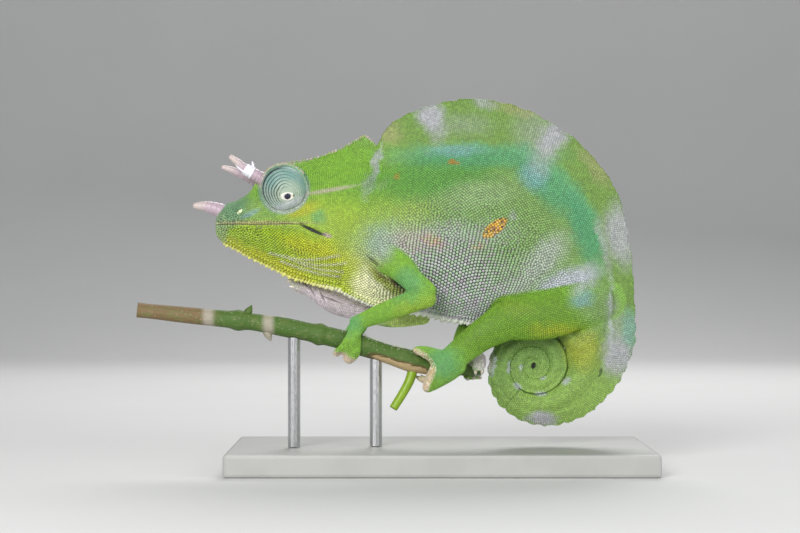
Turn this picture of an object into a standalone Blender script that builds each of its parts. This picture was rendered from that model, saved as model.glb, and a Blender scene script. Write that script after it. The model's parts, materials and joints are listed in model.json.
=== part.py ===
"""A still, life-size model of a three-horned chameleon.

It stands on a short cut length of branch, with its tail wound in a flat coil,
and two rods and a flat base hold the branch up. Sizes are in millimetres and
are turned to metres as each mesh is made. +X runs from snout to tail, +Z is up
and the animal's left side faces -Y. The origin is the middle of the base's
underside.
"""
import math
import random

import bmesh
import bpy
from mathutils import Vector
from mathutils.bvhtree import BVHTree

MM = 0.001
GAP = 0.3
WELD = 0.00001

# Display stand
BASE_LENGTH = 150.0
BASE_WIDTH = 84.0
BASE_HEIGHT = 8.0
BASE_BEVEL = 1.2
ROD_RADIUS = 2.2
ROD_PLACES = (-52.0, -23.0)
ROD_SIDES = 12

# Perch: x, y, z and radius along the branch, from its thin end
BRANCH = (
    (-107.0, -17.0, 57.0, 2.6), (-84.6, -15.0, 54.6, 2.9), (-64.1, -12.5, 52.3, 3.2),
    (-43.2, -9.5, 48.2, 3.4), (-32.4, -7.8, 45.4, 3.5), (-14.4, -4.4, 39.6, 3.6),
    (-3.6, -2.4, 36.8, 3.6), (7.2, -0.8, 36.5, 3.5), (15.3, 0.2, 37.1, 3.4))
SHOOT = ((-9.6, -3.2, 36.0, 1.8), (-11.0, -3.8, 31.4, 1.7), (-13.6, -4.8, 26.6, 1.6), (-16.8, -6.0, 21.6, 1.5))
BRANCH_NODES = (-82.0, -61.0)
BRANCH_BUDS = ((-68.6, 58.6), (-61.6, 46.6))

# Head: x and z of crown and keel, half width, level of the widest place, top and bottom roundness
HEAD = (
    (-80.4, 91.6, -80.4, 83.6, 3.6, 0.50, 0.55, 0.60),
    (-77.0, 95.1, -77.8, 80.7, 6.0, 0.50, 0.50, 0.65),
    (-72.7, 96.6, -72.0, 77.8, 7.6, 0.50, 0.50, 0.70),
    (-68.4, 99.4, -65.9, 74.4, 8.8, 0.48, 0.50, 0.75),
    (-65.2, 104.4, -59.4, 71.2, 9.6, 0.50, 0.55, 0.80),
    (-60.5, 107.7, -53.3, 68.3, 10.4, 0.52, 0.55, 0.85),
    (-54.0, 109.7, -48.2, 66.7, 11.2, 0.55, 0.60, 0.90),
    (-46.1, 111.2, -43.9, 65.4, 12.0, 0.56, 0.75, 0.95),
    (-37.8, 113.9, -40.7, 64.5, 12.4, 0.58, 0.90, 1.00),
    (-31.7, 117.0, -38.5, 63.8, 12.2, 0.60, 1.05, 1.05),
    (-26.9, 119.3, -37.1, 63.4, 11.8, 0.60, 1.15, 1.10),
    (-23.2, 115.6, -36.0, 63.1, 11.4, 0.58, 1.10, 1.10))
HEAD_RINGS = 23
HEAD_SIDES = 18

# Trunk: x and z of crest edge and belly, crest height, half width of the flanks
TRUNK = (
    (-23.3, 113.6, -35.65, 63.0, 5.0, 11.3),
    (-19.8, 121.4, -30.2, 60.6, 10.6, 12.6),
    (-14.8, 125.9, -23.8, 58.0, 14.0, 13.6),
    (-6.8, 130.0, -15.5, 56.2, 15.9, 14.4),
    (4.3, 132.6, -6.1, 55.2, 16.6, 15.0),
    (16.6, 133.1, 2.2, 53.4, 17.5, 15.2),
    (28.1, 130.4, 9.4, 52.2, 17.0, 15.0),
    (38.9, 125.5, 16.6, 51.8, 16.6, 14.4),
    (49.3, 118.3, 23.8, 51.8, 16.3, 13.2),
    (58.7, 108.4, 31.0, 52.2, 15.9, 11.8),
    (65.5, 96.6, 37.4, 52.0, 15.6, 10.2),
    (68.9, 81.1, 42.3, 49.9, 13.4, 8.8),
    (70.4, 66.0, 45.0, 46.6, 11.4, 7.6),
    (71.1, 53.5, 45.8, 42.25, 10.8, 6.8))
TRUNK_RINGS = 39
TRUNK_SIDES = 18
CREST_EDGE = 0.8
CREST_ROOT = 2.6
CREST_LOBES = 19
CREST_LOBE_DEPTH = 0.5

# Tail: angle round the coil's centre, outer radius, half width, share of crest, depth limit
COIL_CENTRE = (33.7, 36.5)
TAIL = (
    (-24.0, 41.0, 6.8, 0.40, 99.0), (-10.0, 37.3, 6.3, 0.38, 99.0), (0.0, 34.3, 6.0, 0.36, 99.0),
    (20.0, 29.8, 5.6, 0.34, 99.0), (40.0, 27.0, 5.2, 0.32, 99.0), (60.0, 24.3, 4.8, 0.30, 99.0),
    (90.0, 21.7, 4.4, 0.27, 99.0), (135.0, 18.8, 3.9, 0.24, 99.0), (180.0, 16.7, 3.5, 0.20, 99.0),
    (270.0, 14.5, 3.1, 0.14, 99.0), (360.0, 12.4, 2.8, 0.08, 99.0), (450.0, 10.2, 2.5, 0.04, 99.0),
    (540.0, 8.6, 2.2, 0.02, 99.0), (630.0, 7.2, 1.95, 0.01, 99.0), (720.0, 5.9, 1.7, 0.01, 3.2),
    (810.0, 4.8, 1.45, 0.01, 2.8), (900.0, 3.9, 1.2, 0.01, 2.3), (990.0, 3.1, 1.0, 0.01, 1.8),
    (1080.0, 2.3, 0.8, 0.01, 1.4), (1150.0, 1.5, 0.6, 0.01, 1.0))
TAIL_CUTS = (("tail_base", -24.0, 62.0), ("tail_bend", 62.0, 200.0),
             ("tail_coil", 200.0, 560.0), ("tail_tip", 560.0, 1150.0))
TAIL_SIDES = 8
TAIL_LOBE = 4.7
TAIL_LOBE_DEPTH = 0.8
TURN_CLEARANCE = 0.42

# Eyes: turret centre, radius, depth behind its centre, and where the pupil looks
EYE_CENTRE = (-56.3, 7.0, 100.0)
EYE_RADIUS = 8.1
EYE_BACK = 2.0
EYE_LOOK = (1.6, 7.6, -2.8)
EYE_FOLDS = 4
EYE_FOLD_DEPTH = 0.28
EYE_SEGMENTS = 18
PUPIL_RADIUS = 1.7

# Horns: x, y, z and radius from root to tip
HORN_ROSTRAL = ((-75.5, 0.0, 90.8, 1.9), (-79.6, 0.0, 93.0, 1.7), (-84.0, 0.0, 94.5, 1.3), (-88.9, 0.0, 94.0, 0.4))
HORN_BROW_LEFT = ((-62.5, -4.0, 102.0, 1.9), (-67.0, -4.6, 105.4, 1.6), (-71.5, -5.2, 108.8, 1.2),
                  (-75.7, -5.8, 111.9, 0.4))
HORN_BROW_RIGHT = ((-63.0, 4.0, 101.6, 1.9), (-69.0, 4.5, 104.6, 1.6), (-74.5, 4.9, 107.0, 1.2),
                   (-79.4, 5.3, 108.3, 0.4))
HORN_RINGS = 11
HORN_RING_DEPTH = 0.10

# Face
MOUTH = ((-80.2, 87.6), (-72.5, 87.9), (-65.5, 87.7), (-56.0, 87.9), (-50.4, 87.5), (-45.4, 85.2), (-40.6, 82.4))
MOUTH_STEPS = 9
LIP_RADIUS = 0.85
LIP_OFFSET = 1.05
MOUTH_SLIT = 0.42
NOSTRIL = (-71.6, 91.6)
BROW_BEADS = 6
CASQUE_BEADS = 6
GULAR_SPINES = 17
VENTRAL_SPINES = 11

# Limbs: x, y, z, thickness in the side view and thickness across, as radii
LIMBS = {
    "upper_arm_left": ((-21.0, -8.2, 77.6, 5.4, 4.4), (-13.0, -14.0, 70.2, 4.4, 4.0), (-5.0, -17.6, 62.9, 4.0, 3.8)),
    "forearm_left": ((-4.6, -17.7, 61.9, 4.1, 3.9), (-17.3, -14.6, 57.2, 3.7, 3.3), (-30.6, -9.6, 51.9, 2.7, 2.5)),
    "upper_arm_right": ((-20.5, 8.5, 75.0, 5.4, 4.4), (-13.0, 12.8, 65.0, 4.4, 4.0), (-6.8, 15.0, 56.6, 4.0, 3.8)),
    "forearm_right": ((-5.8, 15.0, 54.9, 4.0, 3.8), (-17.3, 13.0, 53.6, 3.5, 3.2), (-29.0, 9.8, 56.4, 2.8, 2.5)),
    "thigh_left": ((51.5, -6.2, 58.6, 8.0, 4.3), (38.0, -8.8, 54.8, 8.5, 4.7), (24.6, -9.4, 53.6, 7.7, 4.7)),
    "shank_left": ((23.0, -9.7, 52.8, 7.2, 4.5), (13.7, -11.0, 47.2, 5.6, 3.9), (3.4, -9.4, 38.8, 4.7, 3.3)),
    "thigh_right": ((51.5, 6.2, 58.6, 8.0, 4.3), (36.0, 8.8, 54.6, 8.0, 4.7), (21.8, 9.6, 55.0, 6.8, 4.6)),
    "shank_right": ((20.2, 9.5, 54.2, 6.4, 4.4), (11.8, 8.4, 49.8, 5.0, 4.0), (8.2, 5.6, 43.4, 4.0, 3.2)),
}
LIMB_RINGS = 7
LIMB_SIDES = 10

# Gripping feet: place on the branch, palm angle (0 up, 90 to the left side), and for each bundle
# of toes the number, turn round the branch, lean along it and first offset
GRIPS = {
    "hand_left": ("forearm_left", -31.4, 0.0, ((2, 150.0, 3.0, -0.6), (3, -140.0, 1.0, -2.2))),
    "foot_left": ("shank_left", -1.4, 90.0, ((2, -118.0, 7.0, -0.4), (3, 112.0, 4.4, -3.0))),
    "foot_right": ("shank_right", 10.2, -50.0, ((2, 158.0, -1.4, -2.6), (3, -112.0, -1.0, -3.0))),
}
TOE_SPACING = 2.3
TOE_RADII = (1.9, 1.1)
TOE_STEPS = 5
TOE_SIDES = 6
RAISED_TOES = ((-53.2, 7.4, 67.2), (-53.4, 5.0, 66.6), (-52.4, 4.6, 64.8), (-51.6, 8.4, 64.4), (-50.6, 6.4, 63.4))
RAISED_PALM = (-38.2, 8.0, 60.0, 3.0)
CLAW_LENGTH = 2.0
CLAW_RADIUS = 0.62

COLOURS = {
    "skin_head": (0.20, 0.48, 0.06), "skin_body": (0.22, 0.46, 0.14), "skin_tail": (0.20, 0.50, 0.10),
    "skin_limb": (0.18, 0.50, 0.07), "skin_eye": (0.20, 0.45, 0.32), "eyeball": (0.02, 0.02, 0.05),
    "horn": (0.55, 0.42, 0.45), "claw": (0.65, 0.60, 0.50), "bark": (0.22, 0.34, 0.12),
    "shoot": (0.42, 0.62, 0.08), "stand": (0.55, 0.55, 0.53), "rod": (0.45, 0.45, 0.46)}


def clear_scene():
    """Takes away whatever the new file came with."""
    for item in list(bpy.data.objects):
        bpy.data.objects.remove(item)


def finish_material(name):
    """Makes or finds the Principled material of a finish."""
    found = bpy.data.materials.get(name)
    if found:
        return found
    material = bpy.data.materials.new(name)
    material.use_nodes = True
    shader = material.node_tree.nodes["Principled BSDF"]
    shader.inputs["Base Color"].default_value = COLOURS[name] + (1.0,)
    shader.inputs["Roughness"].default_value = 0.3 if name in ("eyeball", "rod") else 0.6
    shader.inputs["Metallic"].default_value = 1.0 if name == "rod" else 0.0
    return material


def spline(keys, count):
    """Reads even steps from a smooth curve through rows of numbers."""
    padded = [keys[0], *keys, keys[-1]]
    spans = len(keys) - 1
    rows = []
    for step in range(count):
        place = step * spans / (count - 1)
        first = min(int(place), spans - 1)
        rows.append(blend_row(padded[first:first + 4], place - first))
    return rows


def blend_row(four, t):
    """One place between the middle two of four rows, bent towards the outer two."""
    row = []
    for p, q, r, s in zip(*four):
        row.append(0.5 * (2 * q + (r - p) * t + (2 * p - 5 * q + 4 * r - s) * t ** 2
                          + (3 * q - p - 3 * r + s) * t ** 3))
    return row


def read_at(keys, place):
    """Reads a table by its first column, with straight runs between its rows."""
    for low, high in zip(keys, keys[1:]):
        if place <= high[0]:
            share = max(0.0, (place - low[0]) / (high[0] - low[0]))
            return [a + (b - a) * share for a, b in zip(low, high)]
    return list(keys[-1])


def make_object(name, finish, mesh_data):
    """Turns a finished bmesh into a named object with its own material."""
    mesh = bpy.data.meshes.new(name)
    bmesh.ops.recalc_face_normals(mesh_data, faces=mesh_data.faces)
    mesh_data.to_mesh(mesh)
    mesh_data.free()
    item = bpy.data.objects.new(name, mesh)
    bpy.context.scene.collection.objects.link(item)
    mesh.materials.append(finish_material(finish))
    return item


def ring_solid(name, finish, rings, tips=(None, None)):
    """A closed solid from rings of points, capped flat or drawn to a tip."""
    shape = bmesh.new()
    rows = [[shape.verts.new(Vector(point) * MM) for point in ring] for ring in rings]
    for row, following in zip(rows, rows[1:]):
        for i, corner in enumerate(row):
            j = (i + 1) % len(row)
            shape.faces.new((corner, row[j], following[j], following[i]))
    for row, tip in ((rows[0], tips[0]), (rows[-1], tips[1])):
        middle = sum((corner.co for corner in row), Vector()) / len(row)
        hub = shape.verts.new(Vector(tip) * MM if tip else middle)
        for i, corner in enumerate(row):
            shape.faces.new((hub, corner, row[(i + 1) % len(row)]))
    return make_object(name, finish, shape)


def tube(name, finish, keys, steps, sides, grow=0.0, across=(0.0, 1.0, 0.0), rippled=0.0, rounded=False):
    """A round or oval tube along a smooth curve; keys hold x, y, z and one or two radii."""
    rows = spline(keys, steps)
    points = [Vector(row[:3]) for row in rows]
    rings = []
    for i, row in enumerate(rows):
        ahead = points[min(i + 1, steps - 1)] - points[max(i - 1, 0)]
        side = Vector(across)
        side = (side - ahead * side.dot(ahead) / ahead.length_squared).normalized()
        rise = ahead.normalized().cross(side)
        ripple = rippled if i % 2 else 0.0
        radius_in = row[3] + grow - ripple
        radius_side = row[-1] + grow - ripple
        ahead.normalize()
        end = (i == steps - 1) - (i == 0)
        levels = ((0.0, 1.0), (0.36, 0.88), (0.62, 0.55)) if rounded and end else ((0.0, 1.0),)
        added = []
        for level, share in levels:
            centre = points[i] + ahead * end * (level * min(radius_in, radius_side) + (0.0 if rounded else grow))
            ring = []
            for k in range(sides):
                turn = 2 * math.pi * k / sides
                ring.append(centre + rise * (radius_in * share * math.cos(turn))
                            + side * (radius_side * share * math.sin(turn)))
            added.append(ring)
        rings.extend(added[::-1] if i == 0 else added)
    return ring_solid(name, finish, rings)


def apply_modifiers(item):
    """Keeps the shape that the object's modifiers give and drops them."""
    bpy.context.view_layer.update()
    seen = item.evaluated_get(bpy.context.evaluated_depsgraph_get())
    mesh = bpy.data.meshes.new_from_object(seen)
    item.modifiers.clear()
    old = item.data
    item.data = mesh
    bpy.data.meshes.remove(old)


def cut(item, cutters):
    """Takes each cutter's solid out of an object and removes the cutter."""
    for cutter in cutters:
        modifier = item.modifiers.new("clearance", "BOOLEAN")
        modifier.operation = "DIFFERENCE"
        modifier.object = cutter
        apply_modifiers(item)
        bpy.data.objects.remove(cutter)
    tidy_mesh(item)


def fuse(item, pieces):
    """Joins closed pieces to an object in one union and removes them."""
    group = bpy.data.collections.new("fused")
    bpy.context.scene.collection.children.link(group)
    for piece in pieces:
        group.objects.link(piece)
    modifier = item.modifiers.new("union", "BOOLEAN")
    modifier.operation = "UNION"
    modifier.operand_type = "COLLECTION"
    modifier.collection = group
    modifier.solver = "MANIFOLD"
    apply_modifiers(item)
    for piece in pieces:
        bpy.data.objects.remove(piece)
    bpy.data.collections.remove(group)
    tidy_mesh(item)


def tidy_mesh(item):
    """Keeps only the largest closed surface, without slivers, as triangles."""
    shape = bmesh.new()
    shape.from_mesh(item.data)
    bmesh.ops.remove_doubles(shape, verts=shape.verts, dist=WELD)
    bmesh.ops.dissolve_degenerate(shape, edges=shape.edges, dist=WELD)
    bmesh.ops.triangulate(shape, faces=shape.faces)
    unseen = set(shape.faces)
    islands = []
    while unseen:
        reached = [unseen.pop()]
        for face in reached:
            for edge in face.edges:
                for neighbour in edge.link_faces:
                    if neighbour in unseen:
                        unseen.remove(neighbour)
                        reached.append(neighbour)
        islands.append(reached)
    islands.sort(key=lambda faces: sum(face.calc_area() for face in faces), reverse=True)
    spare = [face for island in islands[1:] for face in island]
    bmesh.ops.delete(shape, geom=spare, context="FACES")
    shape.to_mesh(item.data)
    shape.free()


def surface_of(item):
    """A search tree of an object's surface."""
    shape = bmesh.new()
    shape.from_mesh(item.data)
    tree = BVHTree.FromBMesh(shape)
    shape.free()
    return tree


def side_point(tree, x, z, side):
    """Where a level line across the body first meets its left (-1) or right (1) side."""
    reach = 60.0
    start = Vector((x, side * reach, z)) * MM
    place, normal, _, _ = tree.ray_cast(start, Vector((0.0, -side, 0.0)))
    if place is None:
        place, normal, _, _ = tree.find_nearest(Vector((x, 0.0, z)) * MM)
    return place / MM, normal


def cone(name, finish, root, direction, length, radius, sunk=0.9, sides=4):
    """A small spine with its root sunk in the skin."""
    axis = Vector(direction).normalized()
    side = axis.orthogonal().normalized()
    rise = axis.cross(side)
    rings = []
    for along, share in ((-sunk, 1.0), (length * 0.4, 0.72)):
        ring = []
        for k in range(sides):
            turn = 2 * math.pi * k / sides
            spread = side * math.cos(turn) + rise * math.sin(turn)
            ring.append(Vector(root) + axis * along + spread * radius * share)
        rings.append(ring)
    return ring_solid(name, finish, rings, tips=(None, Vector(root) + axis * length))


def bead(name, finish, centre, radius, sides=5):
    """A low rounded tubercle."""
    rings = []
    for level in (-0.5, 0.5):
        ring = []
        for k in range(sides):
            turn = 2 * math.pi * k / sides
            spread = radius * math.sqrt(1.0 - level ** 2)
            ring.append(Vector(centre) + Vector((spread * math.cos(turn), radius * level, spread * math.sin(turn))))
        rings.append(ring)
    ends = [Vector(centre) + Vector((0.0, radius * level, 0.0)) for level in (-1.0, 1.0)]
    return ring_solid(name, finish, rings, tips=ends)


def head_width(share, row):
    """Half width of the head at a share of the way from crown to keel."""
    widest, level, top, bottom = row[4:8]
    if share < level:
        return widest * math.sin(math.pi / 2 * share / level) ** top
    return widest * max(0.0, math.cos(math.pi / 2 * (share - level) / (1.0 - level))) ** bottom


def crest_width(share, crest, widest, edge, root):
    """Half width of trunk or tail at a share of the way from crest edge to belly."""
    if share < crest:
        return edge + (root - edge) * (share / crest) ** 1.5
    below = (share - crest) / (1.0 - crest)
    bulge = math.sin(math.pi * min(below, 1.0) ** 1.12) ** 0.72 if 0.0 < below < 1.0 else 0.0
    keel = 0.5 + root * (1.0 - below)
    return max(keel, widest * bulge)


def flat_ring(top, bottom, sides, width_at):
    """One ring between a top and a bottom point in the mid-plane, as wide as width_at says."""
    ring = []
    top = Vector((top[0], 0.0, top[1]))
    bottom = Vector((bottom[0], 0.0, bottom[1]))
    for k in range(sides):
        turn = 2 * math.pi * k / sides
        share = (1.0 - math.cos(turn)) / 2
        half = width_at(share) if 0 < k and 2 * k != sides else 0.0
        place = top.lerp(bottom, share)
        place.y = -half if k < sides / 2 else half
        ring.append(place)
    return ring


def make_head():
    """Head with its casque, before horns and eyes are let in."""
    rings = []
    for row in spline(HEAD, HEAD_RINGS):
        rings.append(flat_ring(row[:2], row[2:4], HEAD_SIDES, lambda share: head_width(share, row)))
    return ring_solid("head", "skin_head", rings)


def make_trunk():
    """Neck, body and rump with the tall crest along the back."""
    rings = []
    rows = spline(TRUNK, TRUNK_RINGS)
    for i, row in enumerate(rows):
        edge = Vector((row[0], row[1]))
        belly = Vector((row[2], row[3]))
        wave = 1.0 - abs(math.sin(math.pi * CREST_LOBES * i / (TRUNK_RINGS - 1)))
        edge += (belly - edge).normalized() * (CREST_LOBE_DEPTH * wave)
        crest = row[4] / (belly - edge).length
        rings.append(flat_ring(edge, belly, TRUNK_SIDES,
                               lambda share: crest_width(share, crest, row[5], CREST_EDGE, CREST_ROOT)))
    return ring_solid("torso", "skin_body", rings)


def tail_row(angle):
    """Outer radius, depth, half width and crest share of the tail at an angle round the coil."""
    _, outer, half, crest, limit = read_at(TAIL, angle)
    nearest = read_at(TAIL, angle + 360.0)[1] if angle + 360.0 <= TAIL[-1][0] else 0.0
    depth = min(outer - nearest - TURN_CLEARANCE, limit)
    return outer, depth, half, crest


def coil_point(angle, radius):
    """A point in the coil's plane; 0 degrees is towards +X and 90 is down."""
    turn = math.radians(angle)
    return COIL_CENTRE[0] + radius * math.cos(turn), COIL_CENTRE[1] - radius * math.sin(turn)


def make_tail(name, start, end):
    """One length of the tail, with scallops along its crest that fade in the coil."""
    angle = start
    steps = []
    while angle < end:
        steps.append(angle)
        outer = tail_row(angle)[0]
        stride = TAIL_LOBE / 4 if angle < 330.0 else outer * 0.30
        angle += math.degrees(stride / outer)
    last_step = math.degrees(GAP / tail_row(end)[0]) if end < TAIL[-1][0] else 0.0
    steps.append(end - last_step)
    if len(steps) > 2 and steps[-1] - steps[-2] < 0.35 * (steps[-2] - steps[-3]):
        steps.pop(-2)
    rings = []
    for i, angle in enumerate(steps):
        outer, depth, half, crest = tail_row(angle)
        fade = max(0.0, min(1.0, (330.0 - angle) / 200.0))
        wave = 1.0 - abs(math.sin(math.pi * i / 4))
        top = coil_point(angle, outer - TAIL_LOBE_DEPTH * fade * wave)
        bottom = coil_point(angle, outer - depth)
        edge = min(CREST_EDGE, half * 0.5)
        root = min(CREST_ROOT, half * 0.7)
        rings.append(flat_ring(top, bottom, TAIL_SIDES,
                               lambda share: crest_width(share, crest, half, edge, root)))
    return ring_solid(name, "skin_tail", rings)


def eye_axis(side):
    """The direction in which the turret of a side points."""
    return Vector((EYE_LOOK[0], side * EYE_LOOK[1], EYE_LOOK[2])).normalized()


def turned(name, finish, centre, axis, profile, segments):
    """A solid turned about an axis from pairs of height along it and radius."""
    side = axis.orthogonal().normalized()
    rise = axis.cross(side)
    rings = []
    for height, radius in profile[1:-1]:
        ring = []
        for k in range(segments):
            turn = 2 * math.pi * k / segments
            ring.append(centre + axis * height + (side * math.cos(turn) + rise * math.sin(turn)) * radius)
        rings.append(ring)
    ends = (centre + axis * profile[0][0], centre + axis * profile[-1][0])
    return ring_solid(name, finish, rings, tips=ends)


def make_turret(name, side, grow=0.0):
    """Lid cone of an eye with round folds, and a rim about the pupil's opening."""
    centre = Vector((EYE_CENTRE[0], side * EYE_CENTRE[1], EYE_CENTRE[2]))
    radius = EYE_RADIUS + grow
    back = EYE_BACK + grow
    first = math.acos(-back / radius)
    last = math.asin(PUPIL_RADIUS * 1.35 / radius)
    profile = [(-back, 0.0)]
    folds = 3 * EYE_FOLDS
    for i in range(folds + 1):
        turn = first + (last - first) * i / folds
        fold = 0.0 if grow else EYE_FOLD_DEPTH * (i % 3 == 2)
        profile.append(((radius - fold) * math.cos(turn), (radius - fold) * math.sin(turn)))
    if grow:
        profile.append((radius, 0.0))
    else:
        rim = radius * math.cos(last)
        profile.append((rim + 0.45, PUPIL_RADIUS * 1.15))
        profile.append((rim + 0.35, PUPIL_RADIUS))
        profile.append((rim - 1.3, PUPIL_RADIUS * 0.9))
        profile.append((rim - 1.3, 0.0))
    return turned(name, "skin_eye", centre, eye_axis(side), profile, EYE_SEGMENTS)


def make_eyeball(name, side):
    """The part of the eyeball that shows in the lids."""
    centre = Vector((EYE_CENTRE[0], side * EYE_CENTRE[1], EYE_CENTRE[2]))
    rim = math.sqrt(EYE_RADIUS ** 2 - (PUPIL_RADIUS * 1.35) ** 2)
    ball = PUPIL_RADIUS * 0.9 - GAP
    profile = [(rim - 1.3 + GAP, 0.0), (rim - 1.3 + GAP, ball * 0.98), (rim - 0.4, ball), (rim - 0.05, ball * 0.75),
               (rim + 0.12, ball * 0.4), (rim + 0.18, 0.0)]
    return turned(name, "eyeball", centre, eye_axis(side), profile, 10)


def make_horn(name, keys, grow=0.0):
    """A ringed horn that ends in a blunt tip."""
    ripple = 0.0 if grow else HORN_RING_DEPTH
    return tube(name, "horn", keys, HORN_RINGS, 8, grow=grow, rippled=ripple)


def mouth_route(tree, lift, inset):
    """Surface points along the mouth, from the left corner round the snout to the right one."""
    left = []
    right = []
    for x, z in spline(MOUTH, MOUTH_STEPS)[1:]:
        for side, row in ((-1, left), (1, right)):
            place, _ = side_point(tree, x, z + lift, side)
            row.append((place.x, place.y - side * inset, place.z))
    front = (MOUTH[0][0] - 0.25 + inset, 0.0, MOUTH[0][1] + lift)
    return left[::-1] + [front] + right


def add_face(head):
    """Lips, the slit of the mouth, nostrils, brow and casque tubercles, and gular spines."""
    tree = surface_of(head)
    extras = []
    for name, lift in (("upper_lip", LIP_OFFSET), ("lower_lip", -LIP_OFFSET)):
        route = [point + (LIP_RADIUS,) for point in mouth_route(tree, lift, 0.35)]
        extras.append(tube(name, "skin_head", route, len(route), 6, across=(0.0, 0.0, 1.0)))
    brow = ((-66.5, 101.5), (-64.5, 105.6), (-60.0, 108.0), (-54.0, 109.4), (-48.0, 108.8), (-45.0, 106.0))
    for x, z in spline(brow, BROW_BEADS):
        for side in (-1, 1):
            place, _ = side_point(tree, x, z - 0.8, side)
            extras.append(bead("brow_bead", "skin_head", (place.x, place.y - side * 0.3, place.z), 0.95))
    crown = [(row[0], row[1]) for row in HEAD[6:-1]]
    for x, z in spline(crown, CASQUE_BEADS):
        extras.append(bead("casque_bead", "skin_head", (x, 0.0, z - 0.35), 0.95))
    keel = [(row[2], row[3]) for row in HEAD[1:-1]]
    draw = random.Random(7)
    for x, z in spline(keel, GULAR_SPINES):
        length = 1.5 + 0.5 * draw.random()
        extras.append(cone("gular_spine", "skin_head", (x, 0.0, z + 0.1), (-0.55, 0.0, -0.9), length, 0.75))
    fuse(head, extras)
    tree = surface_of(head)
    slit = [point + (MOUTH_SLIT,) for point in mouth_route(tree, 0.0, 0.1)]
    cutters = [tube("slit", "skin_head", slit, len(slit), 6, across=(0.0, 0.0, 1.0))]
    for side in (-1, 1):
        place, _ = side_point(tree, NOSTRIL[0], NOSTRIL[1], side)
        cutters.append(cone("nostril", "skin_head", place, (-0.3, side, 0.1), 1.0, 0.6, sunk=0.9, sides=8))
    cut(head, cutters)


def add_belly_spines(torso):
    """The row of pale conical spines along the throat and belly keel."""
    keel = [(row[2] + 0.6, row[3]) for row in TRUNK[:7]]
    spines = []
    for x, z in spline(keel, VENTRAL_SPINES):
        spines.append(cone("belly_spine", "skin_body", (x, 0.0, z + 0.1), (-0.3, 0.0, -1.0), 1.7, 0.8))
    fuse(torso, spines)


def make_branch(grow=0.0):
    """The cut length of branch."""
    return tube("perch_branch", "bark", BRANCH, 16, 10, grow=grow)


def branch_at(x):
    """Centre and radius of the branch at a place along it, and the way it runs."""
    rows = sorted(BRANCH)
    row = read_at(rows, x)
    near = Vector(read_at(rows, x - 2.0)[:3])
    far = Vector(read_at(rows, x + 2.0)[:3])
    return Vector(row[:3]), row[3], (near - far).normalized()


def add_branch_details(branch):
    """Node swellings and two buds."""
    extras = []
    for x in BRANCH_NODES:
        centre, radius, run = branch_at(x)
        keys = [tuple(centre + run * step) + (radius + swell,) for step, swell in ((-2.4, -0.3), (0.0, 0.7), (2.4, -0.3))]
        extras.append(tube("node", "bark", keys, 3, 10))
    for x, z in BRANCH_BUDS:
        centre, radius, run = branch_at(x)
        direction = Vector((x, centre.y, z)) - centre
        root = centre + direction.normalized() * (radius - 0.4)
        extras.append(cone("bud", "bark", root, direction - run, 3.2, 1.5, sunk=1.2, sides=7))
    fuse(branch, extras)


def make_shoot():
    """The cut stub of the side shoot, let into the underside of the branch."""
    shoot = tube("perch_shoot", "shoot", SHOOT, 6, 8)
    cut(shoot, [make_branch(GAP)])
    return shoot


def make_limb(name, grow=0.0):
    """One length of a leg."""
    return tube(name, "skin_limb", LIMBS[name], LIMB_RINGS, LIMB_SIDES, grow=grow, rounded=True)


def toe_route(grip, toe_number, count, turn, lean, offset):
    """A toe's curve round the branch, from the palm to its tip."""
    _, x, palm, _ = grip
    centre, radius, run = branch_at(x)
    up = (Vector((0.0, 0.0, 1.0)) - run * run.z).normalized()
    left = run.cross(up)
    if left.y > 0:
        left = -left
    points = []
    for step in range(TOE_STEPS):
        share = step / (TOE_STEPS - 1)
        angle = math.radians(palm + turn * (0.12 + 0.88 * share))
        toe_radius = TOE_RADII[0] + (TOE_RADII[1] - TOE_RADII[0]) * share
        reach = radius + toe_radius + GAP + 1.2 * (1.0 - share) ** 2
        along = offset + toe_number * TOE_SPACING * (0.6 + 0.4 * share) + lean * share
        place = centre + run * along + (up * math.cos(angle) + left * math.sin(angle)) * reach
        points.append(tuple(place) + (toe_radius,))
    return points


def add_claw(name, route):
    """A curved claw that follows on from the end of a toe."""
    tip = Vector(route[-1][:3])
    ahead = (tip - Vector(route[-2][:3])).normalized()
    bend = (ahead - (Vector(route[-2][:3]) - Vector(route[-3][:3])).normalized()) * 0.6
    start = tip + ahead * GAP
    keys = []
    for share, radius in ((0.0, 1.0), (0.5, 0.75), (1.0, 0.25)):
        place = start + (ahead + bend * share) * CLAW_LENGTH * share
        keys.append(tuple(place) + (CLAW_RADIUS * radius,))
    tube(name, "claw", keys, 4, 5, across=(0.57, 0.57, 0.59))


def make_grip(name):
    """A foot whose two bundles of toes close round the branch."""
    limb, x, palm_angle, bundles = GRIPS[name]
    centre, radius, run = branch_at(x)
    wrist = Vector(LIMBS[limb][-1][:3])
    toes = []
    number = 0
    routes = []
    for count, turn, lean, offset in bundles:
        for toe_number in range(count):
            route = toe_route(GRIPS[name], toe_number, count, turn, lean, offset)
            number += 1
            add_claw(f"claw_{name}_{number}", route)
            routes.append(route)
            toes.append(tube("toe", "skin_limb", route, TOE_STEPS, TOE_SIDES, across=run))
    heel = sum((Vector(route[0][:3]) for route in routes), Vector()) / len(routes)
    before = Vector(LIMBS[limb][-2][:3])
    ankle = wrist - (wrist - before).normalized() * 1.0
    end_radius = LIMBS[limb][-1][3] * 0.96
    palm_keys = [tuple(ankle) + (end_radius,), tuple(ankle.lerp(heel, 0.55)) + (end_radius * 0.98,), tuple(heel) + (2.5,)]
    foot = tube(name, "skin_limb", palm_keys, 6, 12, across=run)
    fuse(foot, toes)
    cut(foot, [make_branch(GAP), make_limb(limb, GAP)])
    return foot


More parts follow.
